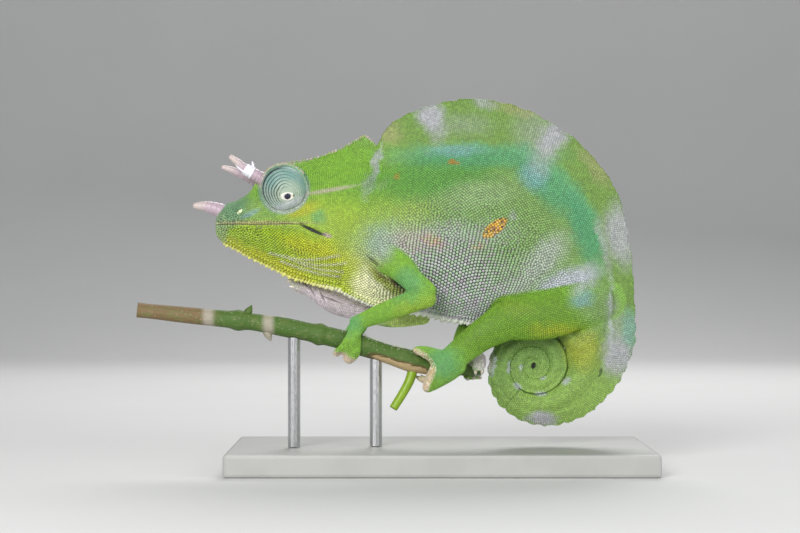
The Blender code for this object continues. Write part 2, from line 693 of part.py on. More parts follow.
def make_raised_hand():
    """The far hand, lifted off the branch with its toes half closed."""
    wrist = Vector(LIMBS["forearm_right"][-1][:3])
    palm = Vector(RAISED_PALM[:3])
    toes = []
    for number, tip in enumerate(RAISED_TOES, 1):
        end = Vector(tip)
        spread = (end - palm) * 0.5
        root = palm + Vector((0.0, spread.y * 0.6, spread.z * 0.2))
        middle = root.lerp(end, 0.55) + Vector((0.0, 0.0, 0.8))
        keys = (tuple(root) + (2.0,), tuple(middle) + (1.8,), tuple(end) + (1.15,))
        route = [tuple(row) for row in spline(keys, TOE_STEPS)]
        add_claw(f"claw_hand_right_{number}", route)
        toes.append(tube("toe", "skin_limb", route, TOE_STEPS, TOE_SIDES))
    keys = (tuple(wrist + Vector((1.2, 0.0, -0.4))) + (2.7,), tuple(wrist.lerp(palm, 0.5)) + (2.8,),
            tuple(palm + Vector((-2.0, 0.0, 0.8))) + (3.1,))
    hand = tube("hand_right", "skin_limb", keys, 6, 12)
    fuse(hand, toes)
    cut(hand, [make_limb("forearm_right", GAP)])
    return hand


def make_stand():
    """Flat base with eased edges, and the two rods up to the branch."""
    shape = bmesh.new()
    bmesh.ops.create_cube(shape, size=MM)
    bmesh.ops.scale(shape, vec=(BASE_LENGTH, BASE_WIDTH, BASE_HEIGHT), verts=shape.verts)
    bmesh.ops.translate(shape, vec=(0.0, 0.0, BASE_HEIGHT / 2 * MM), verts=shape.verts)
    bmesh.ops.bevel(shape, geom=shape.edges[:], offset=BASE_BEVEL * MM, segments=2, profile=0.5, affect="EDGES")
    make_object("stand_base", "stand", shape)
    for number, x in enumerate(ROD_PLACES, 1):
        centre, _, _ = branch_at(x)
        foot = (x, centre.y, BASE_HEIGHT + GAP, ROD_RADIUS)
        top = (x, centre.y, centre.z, ROD_RADIUS)
        rod = tube(f"stand_rod_{number}", "rod", (foot, top), 2, ROD_SIDES)
        cut(rod, [make_branch(GAP)])


def make_all():
    """Every sub-part, each in its own object."""
    clear_scene()
    head = make_head()
    add_face(head)
    horns = {"horn_rostral": HORN_ROSTRAL, "horn_brow_left": HORN_BROW_LEFT, "horn_brow_right": HORN_BROW_RIGHT}
    cutters = []
    for name, keys in horns.items():
        make_horn(name, keys)
        cutters.append(make_horn("horn_seat", keys, GAP))
    for word, side in (("left", -1), ("right", 1)):
        make_turret(f"eye_turret_{word}", side)
        make_eyeball(f"eyeball_{word}", side)
        cutters.append(make_turret("eye_seat", side, GAP))
    cut(head, cutters)

    torso = make_trunk()
    add_belly_spines(torso)
    roots = ("upper_arm_left", "upper_arm_right", "thigh_left", "thigh_right")
    cut(torso, [make_limb(name, GAP) for name in (*roots, "shank_left", "shank_right")])
    for name in roots:
        make_limb(name)
    for lower, upper in (("forearm_left", "upper_arm_left"), ("forearm_right", "upper_arm_right"),
                         ("shank_left", "thigh_left"), ("shank_right", "thigh_right")):
        cut(make_limb(lower), [make_limb(upper, GAP)])

    for name, start, end in TAIL_CUTS:
        make_tail(name, start, end)

    branch = make_branch()
    add_branch_details(branch)
    make_shoot()
    for name in GRIPS:
        make_grip(name)
    make_raised_hand()
    make_stand()
    for item in bpy.data.objects:
        item.data.shade_smooth()
        item.data.set_sharp_from_angle(angle=math.radians(40.0))


make_all()
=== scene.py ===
"""Looks of a still, life-size three-horned chameleon on a cut twig and a plain display stand.

Sizes are in millimetres unless a name says otherwise, and become metres as each mesh is made.
+X runs from snout to tail, +Z is up, and the animal's left side faces -Y.
"""

import json
import math
import random
from functools import cache

import bmesh
import bpy
import numpy as np
from bpy.props import FloatProperty, FloatVectorProperty, IntProperty, PointerProperty
from bpy.types import Operator, Panel, PropertyGroup
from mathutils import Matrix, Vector
from mathutils.bvhtree import BVHTree
from mathutils.kdtree import KDTree

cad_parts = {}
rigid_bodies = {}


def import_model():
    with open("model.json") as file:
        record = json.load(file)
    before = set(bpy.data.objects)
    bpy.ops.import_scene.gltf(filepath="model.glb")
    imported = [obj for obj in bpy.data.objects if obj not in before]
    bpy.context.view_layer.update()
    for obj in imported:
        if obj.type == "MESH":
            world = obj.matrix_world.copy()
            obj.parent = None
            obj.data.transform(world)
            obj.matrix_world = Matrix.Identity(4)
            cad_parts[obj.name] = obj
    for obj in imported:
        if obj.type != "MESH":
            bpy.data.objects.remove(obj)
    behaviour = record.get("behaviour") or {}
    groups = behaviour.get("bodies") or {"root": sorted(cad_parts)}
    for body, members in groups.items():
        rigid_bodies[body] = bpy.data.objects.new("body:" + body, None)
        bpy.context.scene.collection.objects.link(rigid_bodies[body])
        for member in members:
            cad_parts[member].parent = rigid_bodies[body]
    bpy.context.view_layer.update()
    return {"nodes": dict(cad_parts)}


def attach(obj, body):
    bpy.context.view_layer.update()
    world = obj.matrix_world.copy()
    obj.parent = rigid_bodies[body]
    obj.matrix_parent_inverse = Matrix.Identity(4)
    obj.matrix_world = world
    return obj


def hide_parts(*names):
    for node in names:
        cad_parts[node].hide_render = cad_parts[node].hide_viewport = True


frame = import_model()

bl_info = {
    "name": "Horned chameleon model",
    "version": (1, 0, 0),
    "blender": (4, 5, 0),
    "location": "3D View > Sidebar > Chameleon",
    "description": "Skin, scales, eyes, horns, twig and stand of a horned chameleon",
    "category": "Object",
}

MM = 0.001
BODY = "root"

# Perch: x, y, z and radius along the twig, from its thin end
BRANCH = (
    (-107, -17, 57, 2.6), (-84.6, -15, 54.6, 2.9), (-64.1, -12.5, 52.3, 3.2),
    (-43.2, -9.5, 48.2, 3.4), (-32.4, -7.8, 45.4, 3.5), (-14.4, -4.4, 39.6, 3.6),
    (-3.6, -2.4, 36.8, 3.6), (7.2, -0.8, 36.5, 3.5), (15.3, 0.2, 37.1, 3.4))
SHOOT = ((-9.6, -3.2, 36, 1.8), (-11, -3.8, 31.4, 1.7), (-13.6, -4.8, 26.6, 1.6), (-16.8, -6, 21.6, 1.5))
BRANCH_NODES = (-82, -61)
BRANCH_BUDS = ((-68.6, 58.6), (-61.6, 46.6))
BUD_KEYS = ((0, 1.5), (1.4, 1.35), (2.6, 0.8), (3.6, 0.2))
# Which way the strip that is worn bare faces
BARE_WAY = (0.0, -0.42, -0.91)
HAIRS = 230
# One hair, in shares of a thousand: x, y, z and radius
HAIR_KEYS = ((0, 0, 0, 62), (60, 0, 700, 45), (180, 0, 1350, 15))

# Head: x and z of crown and keel, half width, level of the widest place, top and bottom roundness
HEAD = (
    (-80.4, 91.6, -80.4, 83.6, 3.6, 0.5, 0.55, 0.6),
    (-77, 95.1, -77.8, 80.7, 6, 0.5, 0.5, 0.65),
    (-72.7, 96.6, -72, 77.8, 7.6, 0.5, 0.5, 0.7),
    (-68.4, 99.4, -65.9, 74.4, 8.8, 0.48, 0.5, 0.75),
    (-65.2, 104.4, -59.4, 71.2, 9.6, 0.5, 0.55, 0.8),
    (-60.5, 107.7, -53.3, 68.3, 10.4, 0.52, 0.55, 0.85),
    (-54, 109.7, -48.2, 66.7, 11.2, 0.55, 0.6, 0.9),
    (-46.1, 111.2, -43.9, 65.4, 12, 0.56, 0.75, 0.95),
    (-37.8, 113.9, -40.7, 64.5, 12.4, 0.58, 0.9, 1),
    (-31.7, 117, -38.5, 63.8, 12.2, 0.6, 1.05, 1.05),
    (-26.9, 119.3, -37.1, 63.4, 11.8, 0.6, 1.15, 1.1),
    (-23.2, 115.6, -36, 63.1, 11.4, 0.58, 1.1, 1.1))
NAPE = (-21.5, 112, -34, 62.6, 11, 0.58, 1.1, 1.1)

# Trunk: x and z of crest edge and belly, crest height, half width of the flanks
TRUNK = (
    (-23.3, 113.6, -35.65, 63, 5, 11.3),
    (-19.8, 121.4, -30.2, 60.6, 10.6, 12.6),
    (-14.8, 125.9, -23.8, 58, 14, 13.6),
    (-6.8, 130, -15.5, 56.2, 15.9, 14.4),
    (4.3, 132.6, -6.1, 55.2, 16.6, 15),
    (16.6, 133.1, 2.2, 53.4, 17.5, 15.2),
    (28.1, 130.4, 9.4, 52.2, 17, 15),
    (38.9, 125.5, 16.6, 51.8, 16.6, 14.4),
    (49.3, 118.3, 23.8, 51.8, 16.3, 13.2),
    (58.7, 108.4, 31, 52.2, 15.9, 11.8),
    (65.5, 96.6, 37.4, 52, 15.6, 10.2),
    (68.9, 81.1, 42.3, 49.9, 13.4, 8.8),
    (70.4, 66, 45, 46.6, 11.4, 7.6),
    (71.1, 53.5, 45.8, 42.25, 10.8, 6.8))
CREST_EDGE = 0.8
CREST_ROOT = 2.6
CREST_LOBES = 19
CREST_LOBE_DEPTH = 0.5

# Tail: angle round the coil's centre, outer radius, half width, share of crest, depth limit
COIL_CENTRE = (33.7, 36.5)
TAIL = (
    (-24, 41, 6.8, 0.4, 99), (-10, 37.3, 6.3, 0.38, 99), (0, 34.3, 6, 0.36, 99),
    (20, 29.8, 5.6, 0.34, 99), (40, 27, 5.2, 0.32, 99), (60, 24.3, 4.8, 0.3, 99),
    (90, 21.7, 4.4, 0.27, 99), (135, 18.8, 3.9, 0.24, 99), (180, 16.7, 3.5, 0.2, 99),
    (270, 14.5, 3.1, 0.14, 99), (360, 12.4, 2.8, 0.08, 99), (450, 10.2, 2.5, 0.04, 99),
    (540, 8.6, 2.2, 0.02, 99), (630, 7.2, 1.95, 0.01, 99), (720, 5.9, 1.7, 0.01, 99),
    (810, 4.8, 1.45, 0.01, 4.5), (900, 3.9, 1.3, 0.01, 3.7), (990, 3.1, 1.15, 0.01, 2.9),
    (1080, 2.3, 1, 0.01, 2.1), (1150, 1.5, 0.8, 0.01, 1.3))
COIL_START = 128.0
TAIL_LOBE = 4.7
TAIL_LOBE_DEPTH = 0.8
# Angle where the lobes end, and over how many degrees they fade before it
LOBES_END = 330.0
LOBES_FADE = 200.0
TURN_CLEARANCE = -1.15
PLUG_RADIUS = 1.1

# Eyes
EYE_CENTRE = (-55.8, 7.0, 100.1)
EYE_RADIUS = 8.1
EYE_BACK = 2.0
EYE_LOOK = (1.7, 7.4, -3.1)
ORBIT_PLACE = 8.2
ORBIT_RADIUS = 8.15
ORBIT_THICKNESS = 0.55
# Distance from the middle plane and radius of the eye socket's outer wall
ORBIT_ROOT = ((1.5, 7.2), (4, 8.1), (6, 8.45), (7.5, 8.5))
LID_RADIUS = 1.9
LID_FOLDS = 8
FOLD_CUT = 0.26
EYE_HOLE = 1.5
PUPIL_RADIUS = 1.15
# Radius and height over the turret of the lid's rim, and height over it and radius of the eyeball
LID_RIM = ((1.62, -0.7), (1.62, 0.03), (1.45, 0.15), (1.28, 0.17), (PUPIL_RADIUS, 0.06),
           (PUPIL_RADIUS - 0.02, -0.7))
EYEBALL = ((-1, 0), (-1, 1.1), (0.05, PUPIL_RADIUS), (0.24, 0.95), (0.36, 0.6), (0.41, 0.3), (0.42, 0))

# Horns: x, y, z and radius from root to tip
HORNS = {
    "horn_rostral": ((-75.5, 0, 90.6, 2.9), (-79.6, 0, 92.6, 2.6), (-84.2, 0, 93.9, 1.95),
                     (-88.2, 0, 94.2, 1.1)),
    "horn_brow_left": ((-61.5, -4, 102.4, 2.7), (-65.2, -4.4, 104.5, 2.3), (-69.5, -4.9, 107, 1.8),
                       (-72.5, -5.3, 109.5, 1.4), (-75, -5.7, 111.5, 0.8)),
    "horn_brow_right": ((-63, 4, 101.6, 2.6), (-67.5, 4.4, 103.8, 2.1), (-72, 4.7, 105.9, 1.6),
                        (-75.5, 5, 107.3, 1.2), (-78.6, 5.3, 108.3, 0.75)),
}
HORN_RINGS = 24.0
SHED_SKIN = (
    ((-67.2, -4.6, 105.7, 2.15), (-68.6, -4.8, 106.5, 2.1), (-70, -5, 107.4, 1.95)),
    ((-67.4, -4.6, 107.2, 0.7, 0.4), (-67, -4.7, 108.6, 0.5, 0.3), (-67.3, -4.9, 109.8, 0.2, 0.15)),
    ((-70, -6.2, 106.2, 0.5, 0.3), (-71.4, -6.2, 107, 0.4, 0.3), (-72.8, -6.1, 108.3, 0.2, 0.15)))

# Face lines, as x and z on the side of the head
MOUTH = ((-80.2, 87.2), (-72.5, 87.4), (-65.5, 87.2), (-56, 87.4), (-50.4, 87.3), (-45.2, 85.1),
         (-40.9, 83.2))
MOUTH_CORNER = ((-49.6, 87.2), (-45.2, 85.1), (-41, 83.3))
TEMPLE = ((-47.2, 98.4), (-42, 98.9), (-36, 100.2), (-31.3, 100.7))
BROW = ((-66.5, 101.5), (-64.5, 105.6), (-60, 107.6), (-55, 108.8), (-50, 109.2))
NOSTRIL = (-71.5, 91.8)

# Limbs: x, y, z, thickness in the side view and thickness across, as radii
LIMBS = {
    "upper_arm_left": ((-26.5, -4.4, 82, 4.8, 3.6), (-21, -8.2, 77.6, 5.4, 4.4),
                       (-13, -14, 70.2, 4.4, 4), (-5, -17.6, 62.9, 4, 3.8)),
    "forearm_left": ((-4.6, -17.7, 61.9, 4.1, 3.9), (-17.3, -14.6, 57.2, 3.7, 3.3),
                     (-30.6, -9.6, 51.9, 2.7, 2.5)),
    "upper_arm_right": ((-26.5, 4.4, 80, 4.8, 3.6), (-20.5, 8.5, 75, 5.4, 4.4),
                        (-13, 12.8, 65, 4.4, 4), (-6.8, 15, 56.6, 4, 3.8)),
    "forearm_right": ((-5.8, 15, 54.9, 4, 3.8), (-17.3, 13, 53.6, 3.7, 3.4),
                      (-29, 9.8, 55.8, 3.5, 3)),
    "thigh_left": ((59.5, -2.6, 60, 6.4, 3.4), (51.5, -6, 58.8, 7.8, 4.2),
                   (38, -8.8, 54.8, 8.5, 4.7), (24.6, -9.4, 53.6, 7.7, 4.7)),
    "shank_left": ((23, -9.7, 52.8, 7.2, 4.5), (13.7, -11, 47.2, 5.6, 3.9), (3.4, -9.4, 38.8, 4.7, 3.3)),
    "thigh_right": ((59.5, 2.6, 60, 6.4, 3.4), (51.5, 6, 58.8, 7.8, 4.2),
                    (36, 8.8, 54.6, 8, 4.7), (21.8, 9.6, 55, 6.8, 4.6)),
    "shank_right": ((20.2, 9.5, 54.2, 6.4, 4.4), (11.8, 8.4, 49.8, 5, 4), (8.2, 5.6, 43.4, 4, 3.2)),
}

# Gripping feet: last limb, place on the twig, palm angle (0 up, 90 to the left side), and for each
# bundle of toes the number, turn round the twig, lean along it and first offset
GRIPS = {
    "hand_left": ("forearm_left", -31.4, 0, ((2, 150, 3, -0.6), (3, -140, 1, -2.2))),
    "foot_left": ("shank_left", -1.4, 90, ((2, -118, 7, -0.4), (3, 112, 4.4, -3))),
    "foot_right": ("shank_right", 10.2, -50, ((2, 158, -1.4, -2.6), (3, -112, -1, -3))),
}
TOE_SPACING = 2.3
TOE_RADII = (1.9, 1.1)
TOE_STEPS = 9
RAISED_TOES = ((-53.2, 7.4, 67.2), (-53.4, 5, 66.6), (-52.4, 4.6, 64.8), (-51.6, 8.4, 64.4),
               (-50.6, 6.4, 63.4))
RAISED_PALM = (-38.2, 8, 60)
PADS = (
    ((5.5, -9.6, 38.5, 5, 3.8), (1, -9.6, 35.2, 5, 3.8),
     (-3, -8.8, 31, 3.3, 3), (-4.8, -8, 28.9, 2, 2.4)),
    ((-0.5, -9, 39.6, 3.4, 3.2), (-5.2, -8, 41.8, 2.3, 2.9), (-8.4, -6.6, 42.4, 1.6, 2.6)),
    ((7, 1.5, 38.2, 3.6, 4.6), (11, 0.6, 38, 3.8, 4.7), (14.4, 0.2, 38.2, 3.4, 4.4)),
    ((-30.8, -11.2, 46.6, 2.9, 2.4), (-31.4, -10.9, 42, 3.1, 2.6), (-32.8, -9.8, 39.4, 2.2, 2.4)),
    ((-35.4, -9.2, 43, 1.6, 2), (-37.3, -8.6, 41.2, 1.5, 1.8)),
    ((-51, 7, 66.4, 1.7, 2.4), (-46.5, 7.2, 63.2, 2.5, 3.4), (-41.4, 7.6, 60, 3.2, 3.8),
     (-36.7, 8.4, 58.1, 3.8, 4), (-31, 9.6, 56.6, 3.6, 3.4)),
    ((41, 0, 54, 3, 6), (46, 0, 47, 3.2, 5.6), (50, 0, 41, 2.6, 5.2)))
SOLE_EDGE = ((-9.5, 42.5), (-6.8, 40.6), (-4.6, 38.2), (-3.7, 36.1), (-3.7, 34.5), (-4.6, 31.9), (-5.5, 29.9),
             (-6.6, 28.3))
HAND_FOLDS = (((-44, 65.6), (-45.2, 63.4), (-44.8, 61.2)), ((-46.6, 66), (-47.2, 63.8)),
              ((-42.4, 61.4), (-38.5, 60.2), (-35, 58.4)), ((-50, 67), (-46.8, 64.2)))
# Rounded end of a limb: way over it in radii, and there the height and the share of the radius
CAP_PATH = (0.0, 0.38, 0.8, 1.36)
CAP_SHAPE = ((0.0, 0.36, 0.62, 0.62), (1.0, 0.88, 0.55, 0.0))
CLAW_LENGTH = 2.0
CLAW_RADIUS = 0.62
FEET = ("hand_left", "hand_right", "foot_left", "foot_right")
ASKEW = (0.57, 0.57, 0.59)

# Fan lines of the scales' rows, before any of them branch, and reach of one scale on the map in metres
LINE_STEP = 0.3
PATCH_REACH = 0.0015

# Stage in metres: place, size and share of the main strength of each light, and the camera's x and z
LIGHTS = {"key_light": ((-0.3, -0.85, 0.42), 0.45, 0.84), "fill_light": ((0.7, -0.6, 0.35), 0.7, 0.35),
          "rim_light": ((0.1, 0.7, 0.7), 0.6, 0.6)}
LIGHT_AIM = Vector((0.0, 0.0, 0.08))
CAMERA = (-0.0144, 0.0723)
FLOOR_GAP = 0.00005
SOCKETS = {"vector": "NodeSocketVector", "colour": "NodeSocketColor", "number": "NodeSocketFloat",
           "geometry": "NodeSocketGeometry", "object": "NodeSocketObject", "material": "NodeSocketMaterial"}

# Places in the side view: middle and reach of two fields of the flank, a point on the neck and the way across
# it, the limbs' roots with where their own look starts and is full, and the slope of the jaw's upper edge
LOW_FLANK = (3, 64, 26.0, 20.0)
MID_FLANK = (14, 84, 34.0, 24.0)
NECK = (-36.0, 63.1, 0.9715, -0.237)
LIMB_ROOTS = ((-24.0, 80.0, 3.5, 10.0), (56.0, 60.0, 5.0, 13.0))
JAW_SLOPE = 0.42

# Raised and sunk lines on the skin: route, side-view width and height
THROAT_FOLDS = (
    ((-61, 77.1), (-55, 75.7), (-48.6, 72.8), (-42, 71), (-34, 70.3)),
    ((-56, 75.9), (-50, 74.6), (-44, 74.8), (-36, 76.2)),
    ((-51, 73.9), (-44, 72.8), (-38, 72.9), (-32, 73.8)),
    ((-57, 74.2), (-50, 71.6), (-43, 69.6), (-36, 68.6)))
FORMS = {
    "mouth line": (MOUTH[:5], 0.45, -0.35),
    "mouth corner": (MOUTH_CORNER, 0.6, -1.1),
    "upper lip": (tuple((x, z + 1.3) for x, z in MOUTH), 0.7, 0.28),
    "lower lip": (tuple((x, z - 1.3) for x, z in MOUTH), 0.7, 0.28),
    "temple crest": (TEMPLE, 0.9, 0.4),
    "brow ridge": (BROW, 1.3, 0.55),
    "jaw muscle": (((-40, 90), (-36, 84)), 5, 0.8),
    "casque hollow": (((-42, 106), (-31, 109)), 3.4, -0.5),
    "nape fold": (((-20.5, 114), (-22, 108), (-25, 102)), 0.9, -0.4),
    "spine line": (((-8, 109), (12, 111), (30, 108), (45, 96), (54, 78), (58.5, 62)), 1.3, 0.35),
    "rump fold": (((57, 80), (59.5, 62), (59.8, 50), (57.5, 41)), 1, 0.35),
    "vent wrinkle": (((47.5, 39), (53, 38.4)), 0.6, -0.35),
    "vent wrinkle above": (((47, 41.5), (52.5, 42.4)), 0.6, -0.35),
    "vent wrinkle below": (((46.8, 36.2), (52, 34.6)), 0.6, -0.35),
    "arm pit": (((-24, 80), (-21.5, 73), (-15, 66.5)), 0.9, -0.5),
}

# Markings in the order in which they are laid on, in runs that lie on the same parts: colour, centre x and z,
# reach along x and z, turn down towards the tail in degrees, softness, strength, and centre and reach across
FAR = 60.0
# A few marks are painted shade or painted light, as noted beside them.
MARKS = (
    ("body", (
        ("head_green", -44, 104, 30, 17, 0, 0.35, 0.95), ("lime", -40, 86, 13, 11, 0, 0.5, 0.8),
        ("yellow", -50, 92.4, 6, 2.6, -18, 0.5, 0.65), ("jaw_yellow", -56, 79, 27, 8.5, 22, 0.45, 0.95),
        # The throat marks are the throat's own yellow-green, made lighter as painted light on the shaded
        # throat.
        ("throat", -34, 71, 17, 8, 20, 0.5, 0.9), ("yellow", -46, 79, 11, 3, 18, 0.6, 0.5),
        ("throat", -40, 66.5, 18, 5.5, 24, 0.5, 0.9), ("yellow", -61, 72.6, 22, 3.4, 27, 0.5, 0.7),
        ("snout_teal", -75, 92, 8.5, 4.6, -12, 0.5, 0.8), ("snout_front", -79.5, 86, 3.4, 5.5, 0, 0.5, 0.6),
        ("snout_teal", -64, 93, 7, 3.4, 30, 0.6, 0.2), ("lime", -66, 93.6, 4, 2.4, -20, 0.8, 0.35),
        ("lid_teal", -55.8, 100.1, 9.4, 9.4, 0, 0.06, 0.8), ("pink", -64.2, 103.8, 3, 3, 0, 0.4, 0.75),
        ("sky", -67.6, 91.2, 3.4, 0.9, -26, 0.6, 0.5), ("teal", -43, 90, 2.2, 2.4, 0, 0.6, 0.55),
        ("cream", -23, 64, 8.5, 7.5, 30, 0.45, 0.95), ("lilac", -22.6, 109.5, 1.5, 6, 10, 0.5, 0.8),
        ("lilac", -25.4, 101.6, 1.8, 5.6, 20, 0.5, 0.8), ("pink", -20.5, 101.5, 3.2, 1.8, -30, 0.6, 0.4),
        ("lime", -18, 90, 15, 11, 0, 0.6, 0.5), ("ice", -20, 82, 6, 5, 0, 0.7, 0.35),
        ("deep_green", -4, 104, 24, 7, -10, 0.5, 0.75), ("pale_green", 14, 98, 12, 5, -8, 0.7, 0.5),
        ("teal", 12, 112, 26, 4.2, 0, 0.6, 0.75), ("teal", 39, 102, 15, 6.5, 46, 0.5, 0.8),
        ("teal", 52, 86, 5, 14, -16, 0.5, 0.85), ("ice", 6, 114, 9, 2.2, 0, 0.7, 0.55),
        ("ice", 33.5, 104.5, 4.6, 4.6, 20, 0.7, 0.6), ("white_lilac", 0, 70, 24, 12, 14, 0.75, 0.8),
        ("white_lilac", 7, 59, 16, 8, 0, 0.6, 0.75), ("white_lilac", 6, 83, 17, 4.2, -4, 0.8, 0.45),
        ("white_lilac", 37, 77, 9, 4, -34, 0.7, 0.55), ("white_lilac", 31, 68, 12, 3, -30, 0.7, 0.5),
        ("pink", -8, 81, 9, 3.6, 10, 0.7, 0.55), ("peach", -2.6, 81.2, 3.4, 1.7, 20, 0.6, 0.6),
        ("peach", 13, 79.5, 2.6, 1.4, 0, 0.6, 0.45), ("lilac", 25.4, 90, 1.8, 1.5, 0, 0.6, 0.5),
        ("ochre", 19.1, 85.9, 5.4, 2.25, -38, 0.14, 1), ("orange", 5, 109.4, 1.9, 1.2, -8, 0.4, 0.85),
        ("orange", -15.8, 104.8, 1.2, 1.3, 0, 0.6, 0.5), ("pale_lilac", 45, 66, 12, 4.8, -22, 0.5, 0.95),)),
    ("all", (
        ("ice", 49, 60, 5, 2.6, -12, 0.6, 0.7),)),
    ("body", (
        ("lilac", -3.4, 126.6, 4.6, 4.8, 24, 0.55, 0.95), ("lilac", -1, 121, 3.4, 4, 0, 0.7, 0.5),
        ("brown_green", -18, 120, 4.5, 4, -40, 0.6, 0.6), ("lilac", 15.8, 131.6, 4, 2.6, 0, 0.6, 0.6),
        ("brown_green", 28, 129, 8, 2.2, 14, 0.6, 0.5), ("lilac", 41, 119, 4.4, 6, 35, 0.55, 0.9),
        ("lilac", 37, 110, 4, 5, 30, 0.8, 0.45), ("brown_green", 56, 108, 3.2, 8, -40, 0.6, 0.5),
        ("lilac", 65.4, 84, 5.6, 10.5, -8, 0.6, 0.85), ("lilac", 35, 120, 7.5, 6.5, 30, 0.9, 0.4),
        ("lilac", 8, 123, 9, 3.4, 0, 0.9, 0.3), ("lilac", 58.5, 80, 1.6, 9, -12, 0.6, 0.5),
        ("lilac", 64, 40, 5.4, 7.5, -5, 0.5, 0.9), ("lilac", 62.5, 52, 3.6, 8, -4, 0.7, 0.4),
        ("pale_lilac", 61.3, 54, 0.75, 14, 0, 0.7, 0.5), ("tail_green", 47, 24, 24, 12, 0, 0.5, 0.75),
        ("lilac", 36.6, 17.8, 5.2, 3.2, 0, 0.45, 0.95), ("pale_lilac", 18.2, 38.2, 1.9, 4, 0, 0.4, 0.95),
        ("pale_lilac", 24.9, 36.5, 0.8, 2, 0, 0.6, 0.75), ("pale_lilac", 27.8, 29.3, 1.6, 0.9, 35, 0.6, 0.75),
        ("pale_lilac", 36.1, 26.6, 2, 0.8, 0, 0.6, 0.75),
        ("pale_lilac", 45.3, 31.2, 1.7, 0.9, -40, 0.6, 0.75),
        ("pale_lilac", 29.2, 35.7, 0.6, 1.2, 0, 0.6, 0.6), ("pale_lilac", 37, 32.2, 1.1, 0.6, -20, 0.6, 0.6),
        ("ice", 68.6, 50, 3, 6, -6, 0.6, 0.5), ("dark_green", 57.6, 35.2, 0.9, 1.5, 10, 0.4, 0.9),
        ("yellow", 51, 43, 6, 7, 0, 0.7, 0.45),)),
    ("limb", (
        ("leg_green", 30, 52, 32, 14, 0, 0.3, 0.95), ("olive", 27, 57.6, 6, 2.6, 10, 0.6, 0.22),
        ("yellow", 42, 49.6, 9, 2.4, 0, 0.7, 0.4), ("teal", 1, 38, 6, 6, 0, 0.6, 0.6),
        ("teal", -12, 66, 5, 6, 40, 0.6, 0.55, -16, 9), ("lime", -8, 58.5, 9, 2.4, -20, 0.6, 0.6, -16, 9),
        ("teal", -32, 52, 4, 5, 0, 0.6, 0.6, -9, 9), ("far_hand", -40, 60.5, 20, 9.5, 28, 0.25, 1, 9, 8.5),
        ("sole", -6.9, 40, 5, 1.5, 46, 0.4, 0.9, -7, 9), ("sole", -5, 32, 1.5, 5.4, 18, 0.4, 0.9, -7, 9),
        ("sole", -8.5, 31.4, 2.6, 2.2, 0, 0.4, 0.85, -3, 9),
        ("far_hand", 14.4, 37.5, 4.6, 5, 0, 0.5, 0.95, 0, 9),
        ("yellow", 8.2, 35.6, 3, 2.4, 0, 0.6, 0.8, 3, 5),
        ("sole", -34.3, 39.6, 5.2, 2.3, 18, 0.45, 0.95, -9, 9),)),
    ("body", (
        ("pink", -39.5, 99.5, 9.5, 0.75, -10, 0.6, 0.6), ("lip_brown", -64, 87.8, 17, 0.75, 0, 0.5, 0.7),
        # The near-black slit mark here is painted shadow in the mouth's corner.
        ("slit", -45.4, 85.15, 4.6, 0.55, 25, 0.3, 1), ("pink", -40.2, 83.4, 1.8, 0.75, 20, 0.45, 0.8),
        # The brown armpit band here is painted shade in the recess between the chest and the upper arm.
        ("olive", -17.8, 67, 9.5, 3.2, 41, 0.4, 0.9), ("armpit_shade", -15.6, 66.4, 7.5, 1.8, 41, 0.5, 0.9),
        # The slit marks here are painted shadow: the dark line of the armpit's crease, and the coil's centre
        # hole over its plug.
        ("slit", -18.6, 69.6, 9.6, 0.8, 41, 0.28, 0.9), ("slit", 33.6, 36.7, 0.8, 1.2, 15, 0.25, 1),)),
    ("limb", (
        # The hand fold marks are painted shade in the creases between the far hand's fingers and across its
        # palm.
        ("hand_fold_shade", -46.2, 63.4, 0.4, 2.4, -30, 0.28, 0.8, 9, 9),
        ("hand_fold_shade", -42.5, 61.4, 0.4, 2.4, -24, 0.28, 0.8, 9, 9),
        ("hand_fold_shade", -39.4, 60.4, 4.2, 0.4, 22, 0.28, 0.8, 9, 9),
        ("hand_fold_shade", -49.6, 66.4, 3, 0.4, 38, 0.28, 0.7, 9, 9),
        # Painted light: the far elbow's own yellow-green, made far lighter so that it reads as lit where it
        # lies in shade.
        ("far_elbow_lit", -10, 53, 13, 3.6, 0, 0.4, 0.9, 14, 9),)),
    ("body", (
        ("white_lilac", 2, 54.8, 18, 1.3, 8, 0.5, 0.9),)),
)
